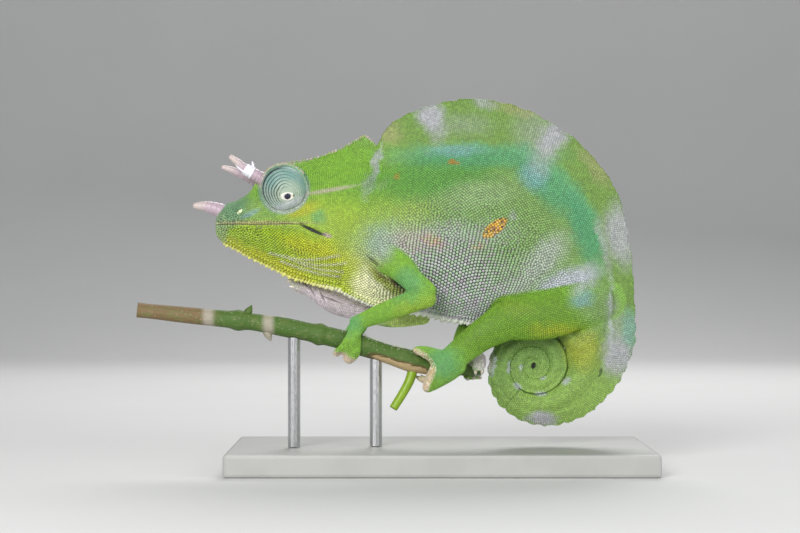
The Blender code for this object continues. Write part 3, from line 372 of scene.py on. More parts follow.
COLOURS = {
    "body_green": (0.22, 0.38, 0.11), "head_green": (0.2, 0.41, 0.035), "limb_green": (0.23, 0.46, 0.05),
    "leg_green": (0.16, 0.33, 0.02), "crest_green": (0.17, 0.305, 0.058), "tail_green": (0.3, 0.47, 0.1),
    "lime": (0.36, 0.5, 0.05), "yellow": (0.52, 0.5, 0.02), "jaw_yellow": (0.31, 0.45, 0.015),
    "snout_teal": (0.13, 0.27, 0.17), "snout_front": (0.3, 0.4, 0.22), "sky": (0.26, 0.42, 0.55),
    "cream": (0.92, 0.92, 0.54), "lilac": (0.4, 0.4, 0.43), "deep_green": (0.1, 0.33, 0.05),
    "pale_green": (0.36, 0.5, 0.26), "teal": (0.1, 0.37, 0.18), "ice": (0.24, 0.44, 0.48),
    "white_lilac": (0.54, 0.54, 0.57), "pink": (0.56, 0.43, 0.42), "peach": (0.66, 0.42, 0.22),
    "ochre": (0.78, 0.45, 0.06), "orange": (0.46, 0.22, 0.03), "dark_green": (0.06, 0.1, 0.03),
    "olive": (0.3, 0.36, 0.03), "sole": (0.66, 0.52, 0.4), "lip_brown": (0.42, 0.34, 0.2),
    # The dark brown armpit colour is painted shade in the recess at the arm's root.
    "armpit_shade": (0.12, 0.09, 0.04), "brown_green": (0.36, 0.34, 0.16), "pale_lilac": (0.5, 0.53, 0.58),
    # The near-black slit colour is painted shadow in creases and holes.
    # The throat colour is the throat's yellow-green, lightened as painted light.
    "far_hand": (0.66, 0.58, 0.62), "slit": (0.01, 0.01, 0.01), "throat": (0.48, 0.57, 0.04),
    # The dark hand fold colour is painted shade in the far hand's creases.
    # The far elbow colour is the elbow's yellow-green with painted light in it.
    "lid_teal": (0.2, 0.36, 0.26), "hand_fold_shade": (0.22, 0.18, 0.18), "far_elbow_lit": (0.8, 0.98, 0.32),
}


class CHAM_PG_skin(PropertyGroup):
    voxel: FloatProperty(name="Voxel", description="Size of the skin's mesh", default=0.000665, unit="LENGTH")
    depth: FloatProperty(name="Depth", description="How deep the skin lies under the scales", default=0.00025,
                         unit="LENGTH")
    smooth: IntProperty(name="Smoothing", description="Steps that ease the joins of the limbs", default=5)


class CHAM_PG_coat(PropertyGroup):
    fine: FloatProperty(name="Fine spacing", description="Scale spacing on limbs and tail", default=0.00079,
                        unit="LENGTH")
    toes: FloatProperty(name="Toe spacing", description="Scale spacing on hands and feet", default=0.00072,
                        unit="LENGTH")


def colour_setting(name, description, colour):
    """A colour that a user can change."""
    return FloatVectorProperty(name=name, description=description, subtype="COLOR", size=3, default=colour)


class CHAM_PG_colours(PropertyGroup):
    horn: colour_setting("Horn", "Colour of the horns", (0.44, 0.33, 0.38))
    horn_tip: colour_setting("Horn tip", "Colour of the tips", (0.56, 0.47, 0.42))
    bark: colour_setting("Bark", "Green bark of the twig", (0.055, 0.13, 0.012))
    dry_bark: colour_setting("Dry bark", "Bark of the thin end", (0.19, 0.115, 0.05))
    shoot: colour_setting("Shoot", "Side shoot", (0.24, 0.38, 0.01))
    stand: colour_setting("Stand", "Base of the stand", (0.42, 0.42, 0.4))


class CHAM_PG_stage(PropertyGroup):
    lens: FloatProperty(name="Lens", description="Focal length in millimetres", default=100.0)
    distance: FloatProperty(name="Distance", description="Camera to the animal", default=0.8, unit="LENGTH")
    light: FloatProperty(name="Light", description="Strength of the main light in watts", default=9.0)


def spline(keys, count):
    """Reads even steps from a smooth curve through rows of numbers."""
    padded = [keys[0], *keys, keys[-1]]
    spans = len(keys) - 1
    rows = []
    for step in range(count):
        place = step * spans / (count - 1)
        first = min(int(place), spans - 1)
        t = place - first
        p, q, r, s = (np.array(row, float) for row in padded[first:first + 4])
        rows.append(0.5 * (2 * q + (r - p) * t + (2 * p - 5 * q + 4 * r - s) * t ** 2
                           + (3 * q - p - 3 * r + s) * t ** 3))
    return rows


def read_at(keys, place):
    """Reads a table by its first column, with straight runs between its rows."""
    for low, high in zip(keys, keys[1:]):
        if place <= high[0]:
            share = max(0.0, (place - low[0]) / (high[0] - low[0]))
            return [a + (b - a) * share for a, b in zip(low, high)]
    return list(keys[-1])


def new_object(name, data):
    """Links a mesh, light or camera to the scene under a name."""
    item = bpy.data.objects.new(name, data)
    bpy.context.scene.collection.objects.link(item)
    return item


def square_to(way, axis):
    """The part of a way that lies across a unit axis, as a unit vector."""
    return (way - axis * way.dot(axis)).normalized()


def lengths(line):
    """How far along a line of points each of them lies."""
    return np.append(0.0, np.cumsum(np.linalg.norm(np.diff(line, axis=0), axis=1)))


def circle(count):
    """Cosine and sine of even turns."""
    return [(math.cos(turn), math.sin(turn)) for turn in np.linspace(0, 2 * math.pi, count, endpoint=False)]


def ring_solid(name, rings, tips=(None, None), hollow=False):
    """A closed solid from rings of points, capped flat or drawn to a tip; a hollow one closes on itself."""
    shape = bmesh.new()
    rows = [[shape.verts.new(Vector(point) * MM) for point in ring] for ring in rings]
    for row, following in zip(rows, rows[1:] + rows[:1] if hollow else rows[1:]):
        for i, corner in enumerate(row):
            j = (i + 1) % len(row)
            shape.faces.new((corner, row[j], following[j], following[i]))
    for row, tip in () if hollow else ((rows[0], tips[0]), (rows[-1], tips[1])):
        middle = sum((corner.co for corner in row), Vector()) / len(row)
        hub = shape.verts.new(Vector(tip) * MM if tip is not None else middle)
        for i, corner in enumerate(row):
            shape.faces.new((hub, corner, row[(i + 1) % len(row)]))
    bmesh.ops.recalc_face_normals(shape, faces=shape.faces)
    mesh = bpy.data.meshes.new(name)
    shape.to_mesh(mesh)
    shape.free()
    mesh.shade_smooth()
    return new_object(name, mesh)


def tube(name, keys, steps, sides, grow=0.0, across=(0.0, 1.0, 0.0), ripple=None, rounded=False):
    """A round or oval tube along a smooth curve; keys hold x, y, z and one or two radii."""
    rows = spline(keys, steps)
    points = [Vector(row[:3]) for row in rows]
    rings = []
    for i, row in enumerate(rows):
        ahead = points[min(i + 1, steps - 1)] - points[max(i - 1, 0)]
        side = Vector(across)
        side = (side - ahead * side.dot(ahead) / ahead.length_squared).normalized()
        ahead.normalize()
        rise = ahead.cross(side)
        swell = ripple(i / (steps - 1)) if ripple else 0.0
        radius_in = row[3] + grow + swell
        radius_side = row[-1] + grow + swell
        end = (i == steps - 1) - (i == 0)
        levels = ((0.0, 1.0), (0.36, 0.88), (0.62, 0.55)) if rounded and end else ((0.0, 1.0),)
        added = []
        for level, share in levels:
            centre = points[i] + ahead * end * level * min(radius_in, radius_side)
            added.append([centre + rise * (radius_in * share * cosine) + side * (radius_side * share * sine)
                          for cosine, sine in circle(sides)])
        rings.extend(added[::-1] if i == 0 else added)
    return ring_solid(name, rings)


def head_width(share, row):
    """Half width of the head at shares of the way from crown to keel."""
    widest, level, top, bottom = row[4:8]
    above = np.sin(np.pi / 2 * np.clip(share / level, 0.0, 1.0)) ** top
    below = np.cos(np.pi / 2 * np.clip((share - level) / (1.0 - level), 0.0, 1.0))
    below = np.clip(below, 0.0, 1.0) ** bottom
    return widest * np.where(share < level, above, below)


def crest_width(share, crest, widest, edge, root):
    """Half width of trunk or tail at shares of the way from crest edge to belly."""
    wing = edge + (root - edge) * np.clip(share / crest, 0.0, 1.0) ** 1.5
    below = np.clip((share - crest) / (1.0 - crest), 0.0, 1.0)
    bulge = np.clip(np.sin(np.pi * below ** 1.12), 0.0, 1.0) ** 0.72
    return np.where(share < crest, wing, np.maximum(0.5 + root * (1.0 - below), widest * bulge))


def trunk_width(share, row):
    """Half width of the trunk at shares of the way down one of its rows."""
    length = math.hypot(row[2] - row[0], row[3] - row[1])
    return crest_width(share, row[4] / length, row[5], CREST_EDGE, CREST_ROOT)


def flat_ring(top, bottom, sides, width_at, inset):
    """One ring between a top and a bottom point in the mid-plane, as wide as width_at says."""
    top = np.array((top[0], 0.0, top[1]))
    bottom = np.array((bottom[0], 0.0, bottom[1]))
    shrink = (bottom - top) / np.linalg.norm(bottom - top) * inset
    turns = np.linspace(0.0, 2 * math.pi, sides, endpoint=False)
    share = (1.0 - np.cos(turns)) / 2
    ring = (top + shrink) + np.outer(share, bottom - top - 2 * shrink)
    half = np.maximum(0.0, width_at(share) - inset)
    half[[0, sides // 2]] = 0.0
    ring[:, 1] = np.where(turns < math.pi, -half, half)
    return ring


def tail_row(angle):
    """Outer radius, depth, half width and crest share of the tail at an angle round the coil."""
    _, outer, half, crest, limit = read_at(TAIL, angle)
    nearest = read_at(TAIL, angle + 360.0)[1] if angle + 360.0 <= TAIL[-1][0] else 0.0
    depth = min(outer - nearest - TURN_CLEARANCE, limit)
    return outer, depth, half, crest


def coil_point(angle, radius):
    """A point in the coil's plane; 0 degrees is towards +X and 90 is down."""
    turn = math.radians(angle)
    return COIL_CENTRE[0] + radius * math.cos(turn), COIL_CENTRE[1] - radius * math.sin(turn)


def tail_shape(name, start, end, stride, sides, inset):
    """One length of the tail, with scallops along its crest that fade in the coil."""
    rings = []
    angle = TAIL[0][0]
    run = 0.0
    while angle < end:
        outer, depth, _, _ = tail_row(angle)
        if angle >= start:
            fade = max(0.0, min(1.0, (LOBES_END - angle) / LOBES_FADE))
            wave = 1.0 - abs(math.sin(math.pi * run / TAIL_LOBE))
            top = coil_point(angle, outer - TAIL_LOBE_DEPTH * fade * wave)
            bottom = coil_point(angle, outer - depth)
            shrink = min(inset, depth * 0.1)
            rings.append(flat_ring(top, bottom, sides, lambda share: tail_width(share, angle), shrink))
        step = min(stride, outer * 0.12)
        angle += math.degrees(step / outer)
        run += step
    return ring_solid(name, rings)


def branch_at(x):
    """Centre and radius of the twig at a place along it, and the way it runs."""
    rows = sorted(BRANCH)
    row = read_at(rows, x)
    near = Vector(read_at(rows, x - 2.0)[:3])
    far = Vector(read_at(rows, x + 2.0)[:3])
    return Vector(row[:3]), row[3], (near - far).normalized()


def toe_route(grip, number, turn, lean, offset):
    """A toe's curve round the twig, from the palm to its tip."""
    _, x, palm, _ = grip
    centre, radius, run = branch_at(x)
    up = square_to(Vector((0.0, 0.0, 1.0)), run)
    left = run.cross(up)
    if left.y > 0:
        left = -left
    points = []
    for step in range(TOE_STEPS):
        share = step / (TOE_STEPS - 1)
        angle = math.radians(palm + turn * (0.12 + 0.88 * share))
        toe_radius = TOE_RADII[0] + (TOE_RADII[1] - TOE_RADII[0]) * share
        reach = radius + toe_radius + 0.3 + 1.2 * (1.0 - share) ** 2
        along = offset + number * TOE_SPACING * (0.6 + 0.4 * share) + lean * share
        place = centre + run * along + (up * math.cos(angle) + left * math.sin(angle)) * reach
        points.append((*place, toe_radius))
    return points


def foot_routes(name):
    """The toes of a foot, and the keys of its palm."""
    if name == "hand_right":
        wrist = Vector(LIMBS["forearm_right"][-1][:3])
        palm = Vector(RAISED_PALM)
        toes = []
        for tip in RAISED_TOES:
            end = Vector(tip)
            spread = (end - palm) * 0.5
            root = palm + Vector((0.0, spread.y * 0.6, spread.z * 0.2))
            middle = root.lerp(end, 0.55) + Vector((0.0, 0.0, 0.8))
            keys = ((*root, 2.0), (*middle, 1.8), (*end, 1.15))
            toes.append(spline(keys, TOE_STEPS))
        heel = (*(wrist + Vector((1.2, 0.0, -0.4))), 3.5)
        return toes, (heel, (-34.8, 8.8, 58.2, 3.8), (-41.0, 7.6, 61.4, 3.3))
    grip = GRIPS[name]
    limb = LIMBS[grip[0]]
    toes = [toe_route(grip, number, turn, lean, offset)
            for count, turn, lean, offset in grip[3] for number in range(count)]
    heel = sum((Vector(route[0][:3]) for route in toes), Vector()) / len(toes)
    wrist = Vector(limb[-1][:3])
    ankle = wrist - (wrist - Vector(limb[-2][:3])).normalized()
    radius = limb[-1][3]
    return toes, ((*ankle, radius * 0.96), (*ankle.lerp(heel, 0.55), radius * 0.94), (*heel, 2.5))


def bundle_keys(grip, count, turn, lean, offset):
    """The mitt that holds a bundle of toes together, from the palm to past their middle."""
    routes = [toe_route(grip, number, turn, lean, offset) for number in range(count)]
    keys = []
    for step in range(7):
        middle = sum((Vector(route[step][:3]) for route in routes), Vector()) / count
        radius = routes[0][step][3]
        spread = TOE_SPACING * (count - 1) / 2 * (0.6 + 0.4 * step / (TOE_STEPS - 1))
        keys.append((*middle, radius + 0.15, radius + spread))
    return keys


def mitts():
    """Keys of every bundle and of the extra pads and flaps, each with the way across it."""
    found = []
    for grip in GRIPS.values():
        run = tuple(branch_at(grip[1])[2])
        found += [(bundle_keys(grip, *bundle), run) for bundle in grip[3]]
    found += [(keys, (0.0, 1.0, 0.0)) for keys in PADS]
    return found


def flesh_parts(inset):
    """Every fleshy form but the coil's inner turns, as closed solids that reach into each other."""
    rings = [flat_ring(row[:2], row[2:4], 64, lambda share: head_width(share, row), inset)
             for row in spline((*HEAD, NAPE), 70)]
    parts = [ring_solid("head_form", rings)]
    rings = []
    rows = spline(TRUNK, 210)
    for i, row in enumerate(rows):
        edge = Vector((row[0], row[1]))
        belly = Vector((row[2], row[3]))
        wave = 1.0 - abs(math.sin(math.pi * CREST_LOBES * i / (len(rows) - 1)))
        edge += (belly - edge).normalized() * (CREST_LOBE_DEPTH * wave)
        rings.append(flat_ring(edge, belly, 96, lambda share: trunk_width(share, row), inset))
    parts.append(ring_solid("trunk_form", rings))
    parts.append(tail_shape("tail_form", TAIL[0][0], COIL_START, 0.5, 48, inset))
    for name, keys in LIMBS.items():
        parts.append(tube(name + "_form", keys, 28, 36, grow=-inset, rounded=True))
    for name in FEET:
        toes, palm = foot_routes(name)
        parts.append(tube(name + "_palm", palm, 12, 24, grow=-inset, rounded=True))
        for route in toes:
            parts.append(tube(name + "_toe", route, 14, 14, grow=-inset * 0.5, across=ASKEW, rounded=True))
    for keys, across in mitts():
        parts.append(tube("mitt", keys, 16, 24, grow=-inset, rounded=True, across=across))
    for side in (-1, 1):
        rings = []
        for hub in (np.array((cosine, 0.0, sine)) for cosine, sine in circle(64)):
            middle = np.array((EYE_CENTRE[0], side * ORBIT_PLACE, EYE_CENTRE[2])) + hub * ORBIT_RADIUS
            rings.append([middle + ORBIT_THICKNESS * (hub * cosine + np.array((0.0, sine, 0.0)))
                          for cosine, sine in circle(12)])
        parts.append(ring_solid("orbit_form", rings, hollow=True))
        rings = [[(EYE_CENTRE[0] + radius * cosine, side * place, EYE_CENTRE[2] + radius * sine)
                  for cosine, sine in circle(64)] for place, radius in ORBIT_ROOT]
        parts.append(ring_solid("orbit_root_form", rings))
    return parts


def pick(items):
    """Selects objects, with the first one active."""
    bpy.ops.object.select_all(action="DESELECT")
    for item in items:
        item.select_set(True)
    bpy.context.view_layer.objects.active = items[0]


def join(name, items):
    """Joins objects into the first one, under a new name."""
    pick(items)
    bpy.ops.object.join()
    items[0].name = name
    items[0].data.name = name
    return items[0]


def keep_modifiers(item):
    """Turns the modifiers' result into a plain mesh."""
    bpy.context.view_layer.update()
    seen = item.evaluated_get(bpy.context.evaluated_depsgraph_get())
    mesh = bpy.data.meshes.new_from_object(seen)
    item.modifiers.clear()
    old = item.data
    item.data = mesh
    bpy.data.meshes.remove(old)
    item.data.name = item.name


def co_array(mesh, kind="vertices", field="co"):
    """A mesh's vectors as an array."""
    data = getattr(mesh, kind)
    values = np.empty(len(data) * 3, dtype=np.float32)
    data.foreach_get(field, values)
    return values.reshape(-1, 3)


def line_distance(points, route):
    """Distance of points to a line through a few corners, less its radius where it has one."""
    best = np.full(len(points), 1e9)
    size = points.shape[1]
    for a, b in zip(route, route[1:]):
        start = np.array(a[:size], float)
        step = np.array(b[:size], float) - start
        share = np.clip(((points - start) @ step) / (step @ step), 0.0, 1.0)
        first, last = (max(row[size:], default=0.0) for row in (a, b))
        away = np.linalg.norm(points - start - share[:, None] * step, axis=1)
        best = np.minimum(best, away - (first + (last - first) * share))
    return best


def smooth_step(values, low, high):
    """0 below low, 1 above high, with eased ends."""
    t = np.clip((values - low) / (high - low), 0.0, 1.0)
    return t * t * (3 - 2 * t)


def limb_distance(points):
    """How far points lie outside the nearest limb or foot."""
    routes = [spline(keys, 9) for keys in LIMBS.values()] + [keys for keys, _ in mitts()[:-1]]
    for name in FEET:
        toes, palm = foot_routes(name)
        routes += [palm, *toes]
    return np.min([line_distance(points, route) for route in routes], axis=0)


def trunk_share(points):
    """How far down from the crest's edge each point lies on the trunk, in crest heights."""
    rows = np.array(spline(TRUNK, 90))
    best = np.full(len(points), 1e9)
    share = np.zeros(len(points))
    for row in rows:
        edge = row[0:2]
        run = row[2:4] - edge
        length = np.linalg.norm(run)
        along = ((points[:, [0, 2]] - edge) @ run) / length
        off = np.abs((points[:, 0] - edge[0]) * run[1] - (points[:, 2] - edge[1]) * run[0]) / length
        closer = off < best
        best = np.where(closer, off, best)
        share = np.where(closer, along / row[4], share)
    return share


def store(mesh, name, values):
    """Keeps one number for each corner point of a mesh."""
    attribute = mesh.attributes.new(name, "FLOAT", "POINT")
    attribute.data.foreach_set("value", np.asarray(values, dtype=np.float32))


def region_values(points):
    """For each point: how much it is limb and crest, how much shade is painted in its gaps, how big its
    scales, and folds.
    """
    x, y, z = points.T
    limb = 1.0 - smooth_step(limb_distance(points), 0.2, 1.6)
    for spot_x, spot_z, near, far in LIMB_ROOTS:
        limb = limb * smooth_step(np.hypot(x - spot_x, z - spot_z), near, far)
    neck = (x - NECK[0]) * NECK[2] + (z - NECK[1]) * NECK[3]
    head = (neck < 0) & (limb < 0.5)
    near = np.hypot(x - COIL_CENTRE[0], z - COIL_CENTRE[1])
    below = (x - COIL_CENTRE[0]) * 0.407 - (z - COIL_CENTRE[1]) * 0.914 > 0.0
    tail = (limb < 0.5) & ~head & (x > 10) & ((below & (near < 48)) | (near < 16.5)) & (z < 56)
    body = 1.0 - limb
    crest = smooth_step(1.15 - trunk_share(points), 0.0, 0.3) * ~head * ~tail * body
    low, mid = (np.exp(-(((x - spot[0]) / spot[2]) ** 2 + ((z - spot[1]) / spot[3]) ** 2) ** power)
                * ~head * ~tail * body for spot, power in ((LOW_FLANK, 1.2), (MID_FLANK, 2)))
    jaw = head * (1.0 - smooth_step(z + JAW_SLOPE * x, 56.0, 64.0))
    fold = np.zeros(len(points))
    for route in THROAT_FOLDS:
        fold = np.maximum(fold, 0.8 * np.exp(-(line_distance(points[:, [0, 2]], route) / 0.42) ** 2) * head)
    around = np.hypot(x - EYE_CENTRE[0], z - EYE_CENTRE[2])
    low_rim = 0.1 + 0.7 * smooth_step(EYE_CENTRE[2] - z + 0.5 * (x - EYE_CENTRE[0]), 0.0, 6.0)
    rim = np.exp(-((around - ORBIT_RADIUS - 0.3) / 0.6) ** 2)
    fold = np.maximum(fold, rim * (np.abs(y) > 5.5) * head * low_rim)
    # Groove: how much painted shade the skin takes between the scales; on the scales it marks where odd tints
    # go on the low flank.
    groove = np.clip(0.15 + 0.6 * low + 0.35 * mid + 0.35 * jaw - 0.15 * crest, 0.0, 1.0)
    return {"limb": limb, "crest": np.maximum(crest, tail * 0.8), "groove": groove, "fold": fold,
            "low": low, "jaw": jaw, "mid": mid}


def mark_regions(mesh):
    """Stores what the materials read on the skin."""
    values = region_values(co_array(mesh) / MM)
    for name in ("limb", "crest", "groove", "fold"):
        store(mesh, name, values[name])


def form_grid(rows, edges, width_at, shares):
    """The left half of a flat form as a grid of points, one line of them for each row."""
    grid = np.empty((len(rows), len(shares), 3))
    for i, row in enumerate(rows):
        top, bottom = edges(row)
        grid[i, :, 0] = top[0] + (bottom[0] - top[0]) * shares
        grid[i, :, 2] = top[1] + (bottom[1] - top[1]) * shares
        grid[i, :, 1] = -width_at(shares, row)
    return grid


def read_grid(lines, places):
    """Reads an array between its rows."""
    low = np.clip(places.astype(int), 0, len(lines) - 2)
    share = (places - low).reshape((-1,) + (1,) * (lines.ndim - 1))
    return lines[low] * (1.0 - share) + lines[low + 1] * share


def lattice(grid, middle, spacing_at):
    """Even rows of places over a grid: lines that branch where they fan out, each second one shifted."""
    line = grid[:, int(middle * grid.shape[1])]
    run = lengths(line)
    count = int(run[-1] / LINE_STEP)
    places = np.interp(np.linspace(0.0, run[-1], count), run, np.arange(len(grid)))
    lines = read_grid(grid, places)
    step = np.linalg.norm(np.diff(lines, axis=1), axis=2)
    gap = np.linalg.norm(np.diff(lines, axis=0, append=2 * lines[-1:] - lines[-2:-1]), axis=2) * 4.0
    want = spacing_at(lines.reshape(-1, 3)).reshape(gap.shape)
    wave = 0.22 * np.sin(lines[..., 0] * 0.31 + lines[..., 2] * 0.23) * np.cos(lines[..., 2] * 0.37)
    level = np.clip(np.round(np.log2(gap / (0.87 * want)) + wave), 0, 2).astype(int)
    along = 0.87 * want ** 2 / (gap / 2.0 ** level)
    found = []
    for j in range(count):
        turns = np.append(0.0, np.cumsum((step[j] / along[j, :-1])[::-1]))[::-1]
        halves = np.arange(0, int(2 * turns[0])) / 2.0
        down = np.interp(halves, turns[::-1], np.arange(len(turns))[::-1])
        at = down.round().astype(int)
        stride = 4 // 2 ** level[j, at]
        kept = (j % stride == 0) & ((2 * halves).astype(int) % 2 == (j // stride) % 2)
        down, at = down[kept], at[kept]
        found.append(np.column_stack((read_grid(lines[j], down), want[j, at] / 2)))
    return np.vstack(found)


def both_sides(found):
    """Adds the right side to places on the left."""
    other = found.copy()
    other[:, 1] *= -1
    return np.vstack((found, other))


def limb_lattice(keys, spacing, across=(0.0, 1.0, 0.0)):
    """Rings of places round a limb or toe and over its ends, each second ring shifted."""
    rows = np.array(spline(keys, 160))
    run = lengths(rows[:, :3])
    rings = [(place, 0.0, 1.0) for place in
             np.interp(np.arange(0.0, run[-1], spacing * 0.87), run, np.arange(len(rows)))]
    for place, way in ((0.0, -1.0), (len(rows) - 1.0, 1.0)):
        radius = min(rows[int(place)][3:])
        path = np.arange(0.5 * spacing, radius * 1.32, spacing * 0.87) / radius
        levels, shares = (np.interp(path, CAP_PATH, values) for values in CAP_SHAPE)
        rings += [(place, way * level * radius, share) for level, share in zip(levels, shares)]
    found = []
    for i, (place, beyond, share) in enumerate(rings):
        row = read_grid(rows, np.array([place]))[0]
        low = min(int(place), len(rows) - 2)
        ahead = Vector(rows[low + 1][:3] - rows[low][:3]).normalized()
        side = np.array(square_to(Vector(across), ahead))
        rise = np.cross(ahead, side)
        number = max(3, round(math.pi * (row[3] + row[-1]) * share / spacing))
        turns = (np.arange(number) + 0.5 * (i % 2)) * (2 * math.pi / number)
        ring = row[:3] + np.array(ahead) * beyond + share * (np.outer(np.cos(turns) * row[3], rise)
                                                            + np.outer(np.sin(turns) * row[-1], side))
        found.append(np.column_stack((ring, np.full(number, spacing / 2))))
    return np.vstack(found)


def settle_places(found, tree, reach=1.25, crowd=0.55, rounds=14):
    """Moves places on to the skin, thins out those that lie on each other and eases the rest apart."""
    kept = []
    for x, y, z, size, tag in found:
        spot, normal, _, _ = tree.find_nearest(Vector((x, y, z)) * MM, reach * MM)
        if spot is not None:
            kept.append((spot / MM, normal, size, tag))
    finder = KDTree(len(kept))
    for i, row in enumerate(kept):
        finder.insert(row[0], i)
    finder.balance()
    gone = bytearray(len(kept))
    pairs = []
    for i, (spot, _, size, _) in enumerate(kept):
        if not gone[i]:
            for _, j, away in finder.find_range(spot, size * 2 * 1.35):
                if j > i and away < size * 2 * crowd:
                    gone[j] = 1
                elif j != i:
                    pairs.append((i, j))
    spots, normals, sizes = (np.array([row[column] for row in kept]) for column in range(3))
    pairs = np.array([pair for pair in pairs if not gone[pair[0]] and not gone[pair[1]]])
    first, second = pairs.T
    for _ in range(rounds):
        apart = spots[first] - spots[second]
        away = np.linalg.norm(apart, axis=1) + 1e-9
        want = (sizes[first] + sizes[second]) * 1.08
        push = np.clip(1.0 - away / want, 0.0, 0.6) * want * 0.3
        move = np.zeros_like(spots)
        np.add.at(move, first, apart / away[:, None] * push[:, None])
        move -= normals * np.sum(move * normals, axis=1)[:, None]
        spots += move
    settled = []
    for i, row in enumerate(kept):
        if not gone[i]:
            spot, normal, _, _ = tree.find_nearest(Vector(spots[i]) * MM)
            settled.append((spot / MM, normal, row[2], row[3]))
    return settled


def shape_forms(item):
    """Raises and sinks the face's lines, folds and muscles, and the orbit about each eye."""
    mesh = item.data
    points = co_array(mesh) / MM
    normals = co_array(mesh, "vertex_normals", "vector")
    side = points[:, [0, 2]]
    move = np.zeros(len(points))
    flat = np.abs(normals[:, 1])
    limb = smooth_step(limb_distance(points), 0.5, 1.8)
    folds = [(route, 0.55, 0.32) for route in THROAT_FOLDS]
    for route, width, height in (*FORMS.values(), *folds):
        move += height * np.exp(-(line_distance(side, route) / width) ** 2) * flat * limb
    hand = (points[:, 1] > 2.0) & (points[:, 0] < -30.0)
    for route in HAND_FOLDS:
        move -= 0.5 * np.exp(-(line_distance(side, route) / 0.4) ** 2) * (1.0 - limb) * hand
    for way in (-1, 1):
        centre = np.array((EYE_CENTRE[0], way * EYE_CENTRE[1], EYE_CENTRE[2]))
        away = np.linalg.norm(points - centre, axis=1) - EYE_RADIUS
        move += 0.35 * np.exp(-((away - 2.2) / 0.8) ** 2)
    draw = random.Random(3)
    for _ in range(26):
        way = np.array([draw.uniform(-1, 1) for _ in range(3)])
        pitch = draw.uniform(0.12, 0.5)
        move += 0.045 * np.sin(points @ way * pitch + draw.uniform(0, 6.3)) * limb
    points += normals * move[:, None]
    mesh.vertices.foreach_set("co", (points * MM).ravel())
    mesh.update()


def unwrap(item):
    """An unwrap of the skin's own shape, kept as the OFBake map."""
    pick([item])
    item.data.uv_layers.new(name="OFBake")
    bpy.ops.object.mode_set(mode="EDIT")
    bpy.ops.mesh.select_all(action="SELECT")
    bpy.ops.uv.smart_project(angle_limit=math.radians(70), island_margin=0.0015)
    bpy.ops.object.mode_set(mode="OBJECT")


def settle(item, material, slot, *nodes):
    """Gives a piece its material and its body, and hides the nodes it stands for; the record slot is not
    used.
    """
    item.data.materials.clear()
    item.data.materials.append(material)
    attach(item, BODY)
    if nodes:
        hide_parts(*nodes)
    return item


class Graph:
    """Short ways to add nodes to a tree and join them."""

    def __init__(self, tree):
        self.tree = tree

    def put(self, socket, value):
        """Joins an output to a socket, or sets it; a colour may leave out its alpha."""
        if isinstance(value, bpy.types.NodeSocket):
            self.tree.links.new(value, socket)
        elif value is not None:
            socket.default_value = (*value, 1.0) if socket.type == "RGBA" and len(value) == 3 else value

    def add(self, kind, given=None, **choices):
        """A node with its choices made, and its inputs joined or set by name or number."""
        made = self.tree.nodes.new(kind)
        for key, value in choices.items():
            setattr(made, key, value)
        for name, value in (given or {}).items():
            self.put(made.inputs[name], value)
        return made

    def math(self, operation, a, b=0.0, c=None):
        return self.add("ShaderNodeMath", {0: a, 1: b, 2: c}, operation=operation).outputs[0]

    def times(self, a, b):
        return self.math("MULTIPLY", a, b)

    def vector(self, operation, a, b=None, scale=None):
        made = self.add("ShaderNodeVectorMath", {0: a, 1: b, 3: scale}, operation=operation)
        return made.outputs["Value" if operation in ("LENGTH", "DISTANCE", "DOT_PRODUCT") else "Vector"]

    def mix(self, share, a, b, blend="MIX"):
        given = {0: share, 6: a, 7: b}
        return self.add("ShaderNodeMix", given, data_type="RGBA", blend_type=blend).outputs[2]

    def ramp(self, value, low, high, start=0.0, end=1.0, kind="SMOOTHSTEP"):
        given = dict(enumerate((value, low, high, start, end)))
        return self.add("ShaderNodeMapRange", given, interpolation_type=kind).outputs[0]

    def line(self, value, low, high, start=0.0, end=1.0):
        return self.ramp(value, low, high, start, end, "LINEAR")

    def noise(self, place, scale, detail=2.0, output=0):
        given = {"Vector": place, "Scale": scale, "Detail": detail}
        return self.add("ShaderNodeTexNoise", given).outputs[output]

    def cells(self, place, scale):
        return self.add("ShaderNodeTexVoronoi", {"Vector": place, "Scale": scale}).outputs["Distance"]

    def grey(self, value):
        return self.add("ShaderNodeCombineColor", dict.fromkeys(range(3), value)).outputs[0]

    def attribute(self, name):
        return self.add("ShaderNodeAttribute", attribute_name=name).outputs["Fac"]


class Group(Graph):
    """A node group with named sockets; it knows what it is given and its inputs' identifiers."""

    def __init__(self, name, kind, inputs, outputs):
        super().__init__(bpy.data.node_groups.new(name, kind))
        self.sockets = {}
        for title, sort in inputs:
            socket = self.tree.interface.new_socket(name=title, in_out="INPUT", socket_type=SOCKETS[sort])
            self.sockets[title] = socket.identifier
        for title, sort in outputs:
            self.tree.interface.new_socket(name=title, in_out="OUTPUT", socket_type=SOCKETS[sort])
        self.given = self.add("NodeGroupInput").outputs
        self.result = self.add("NodeGroupOutput").inputs


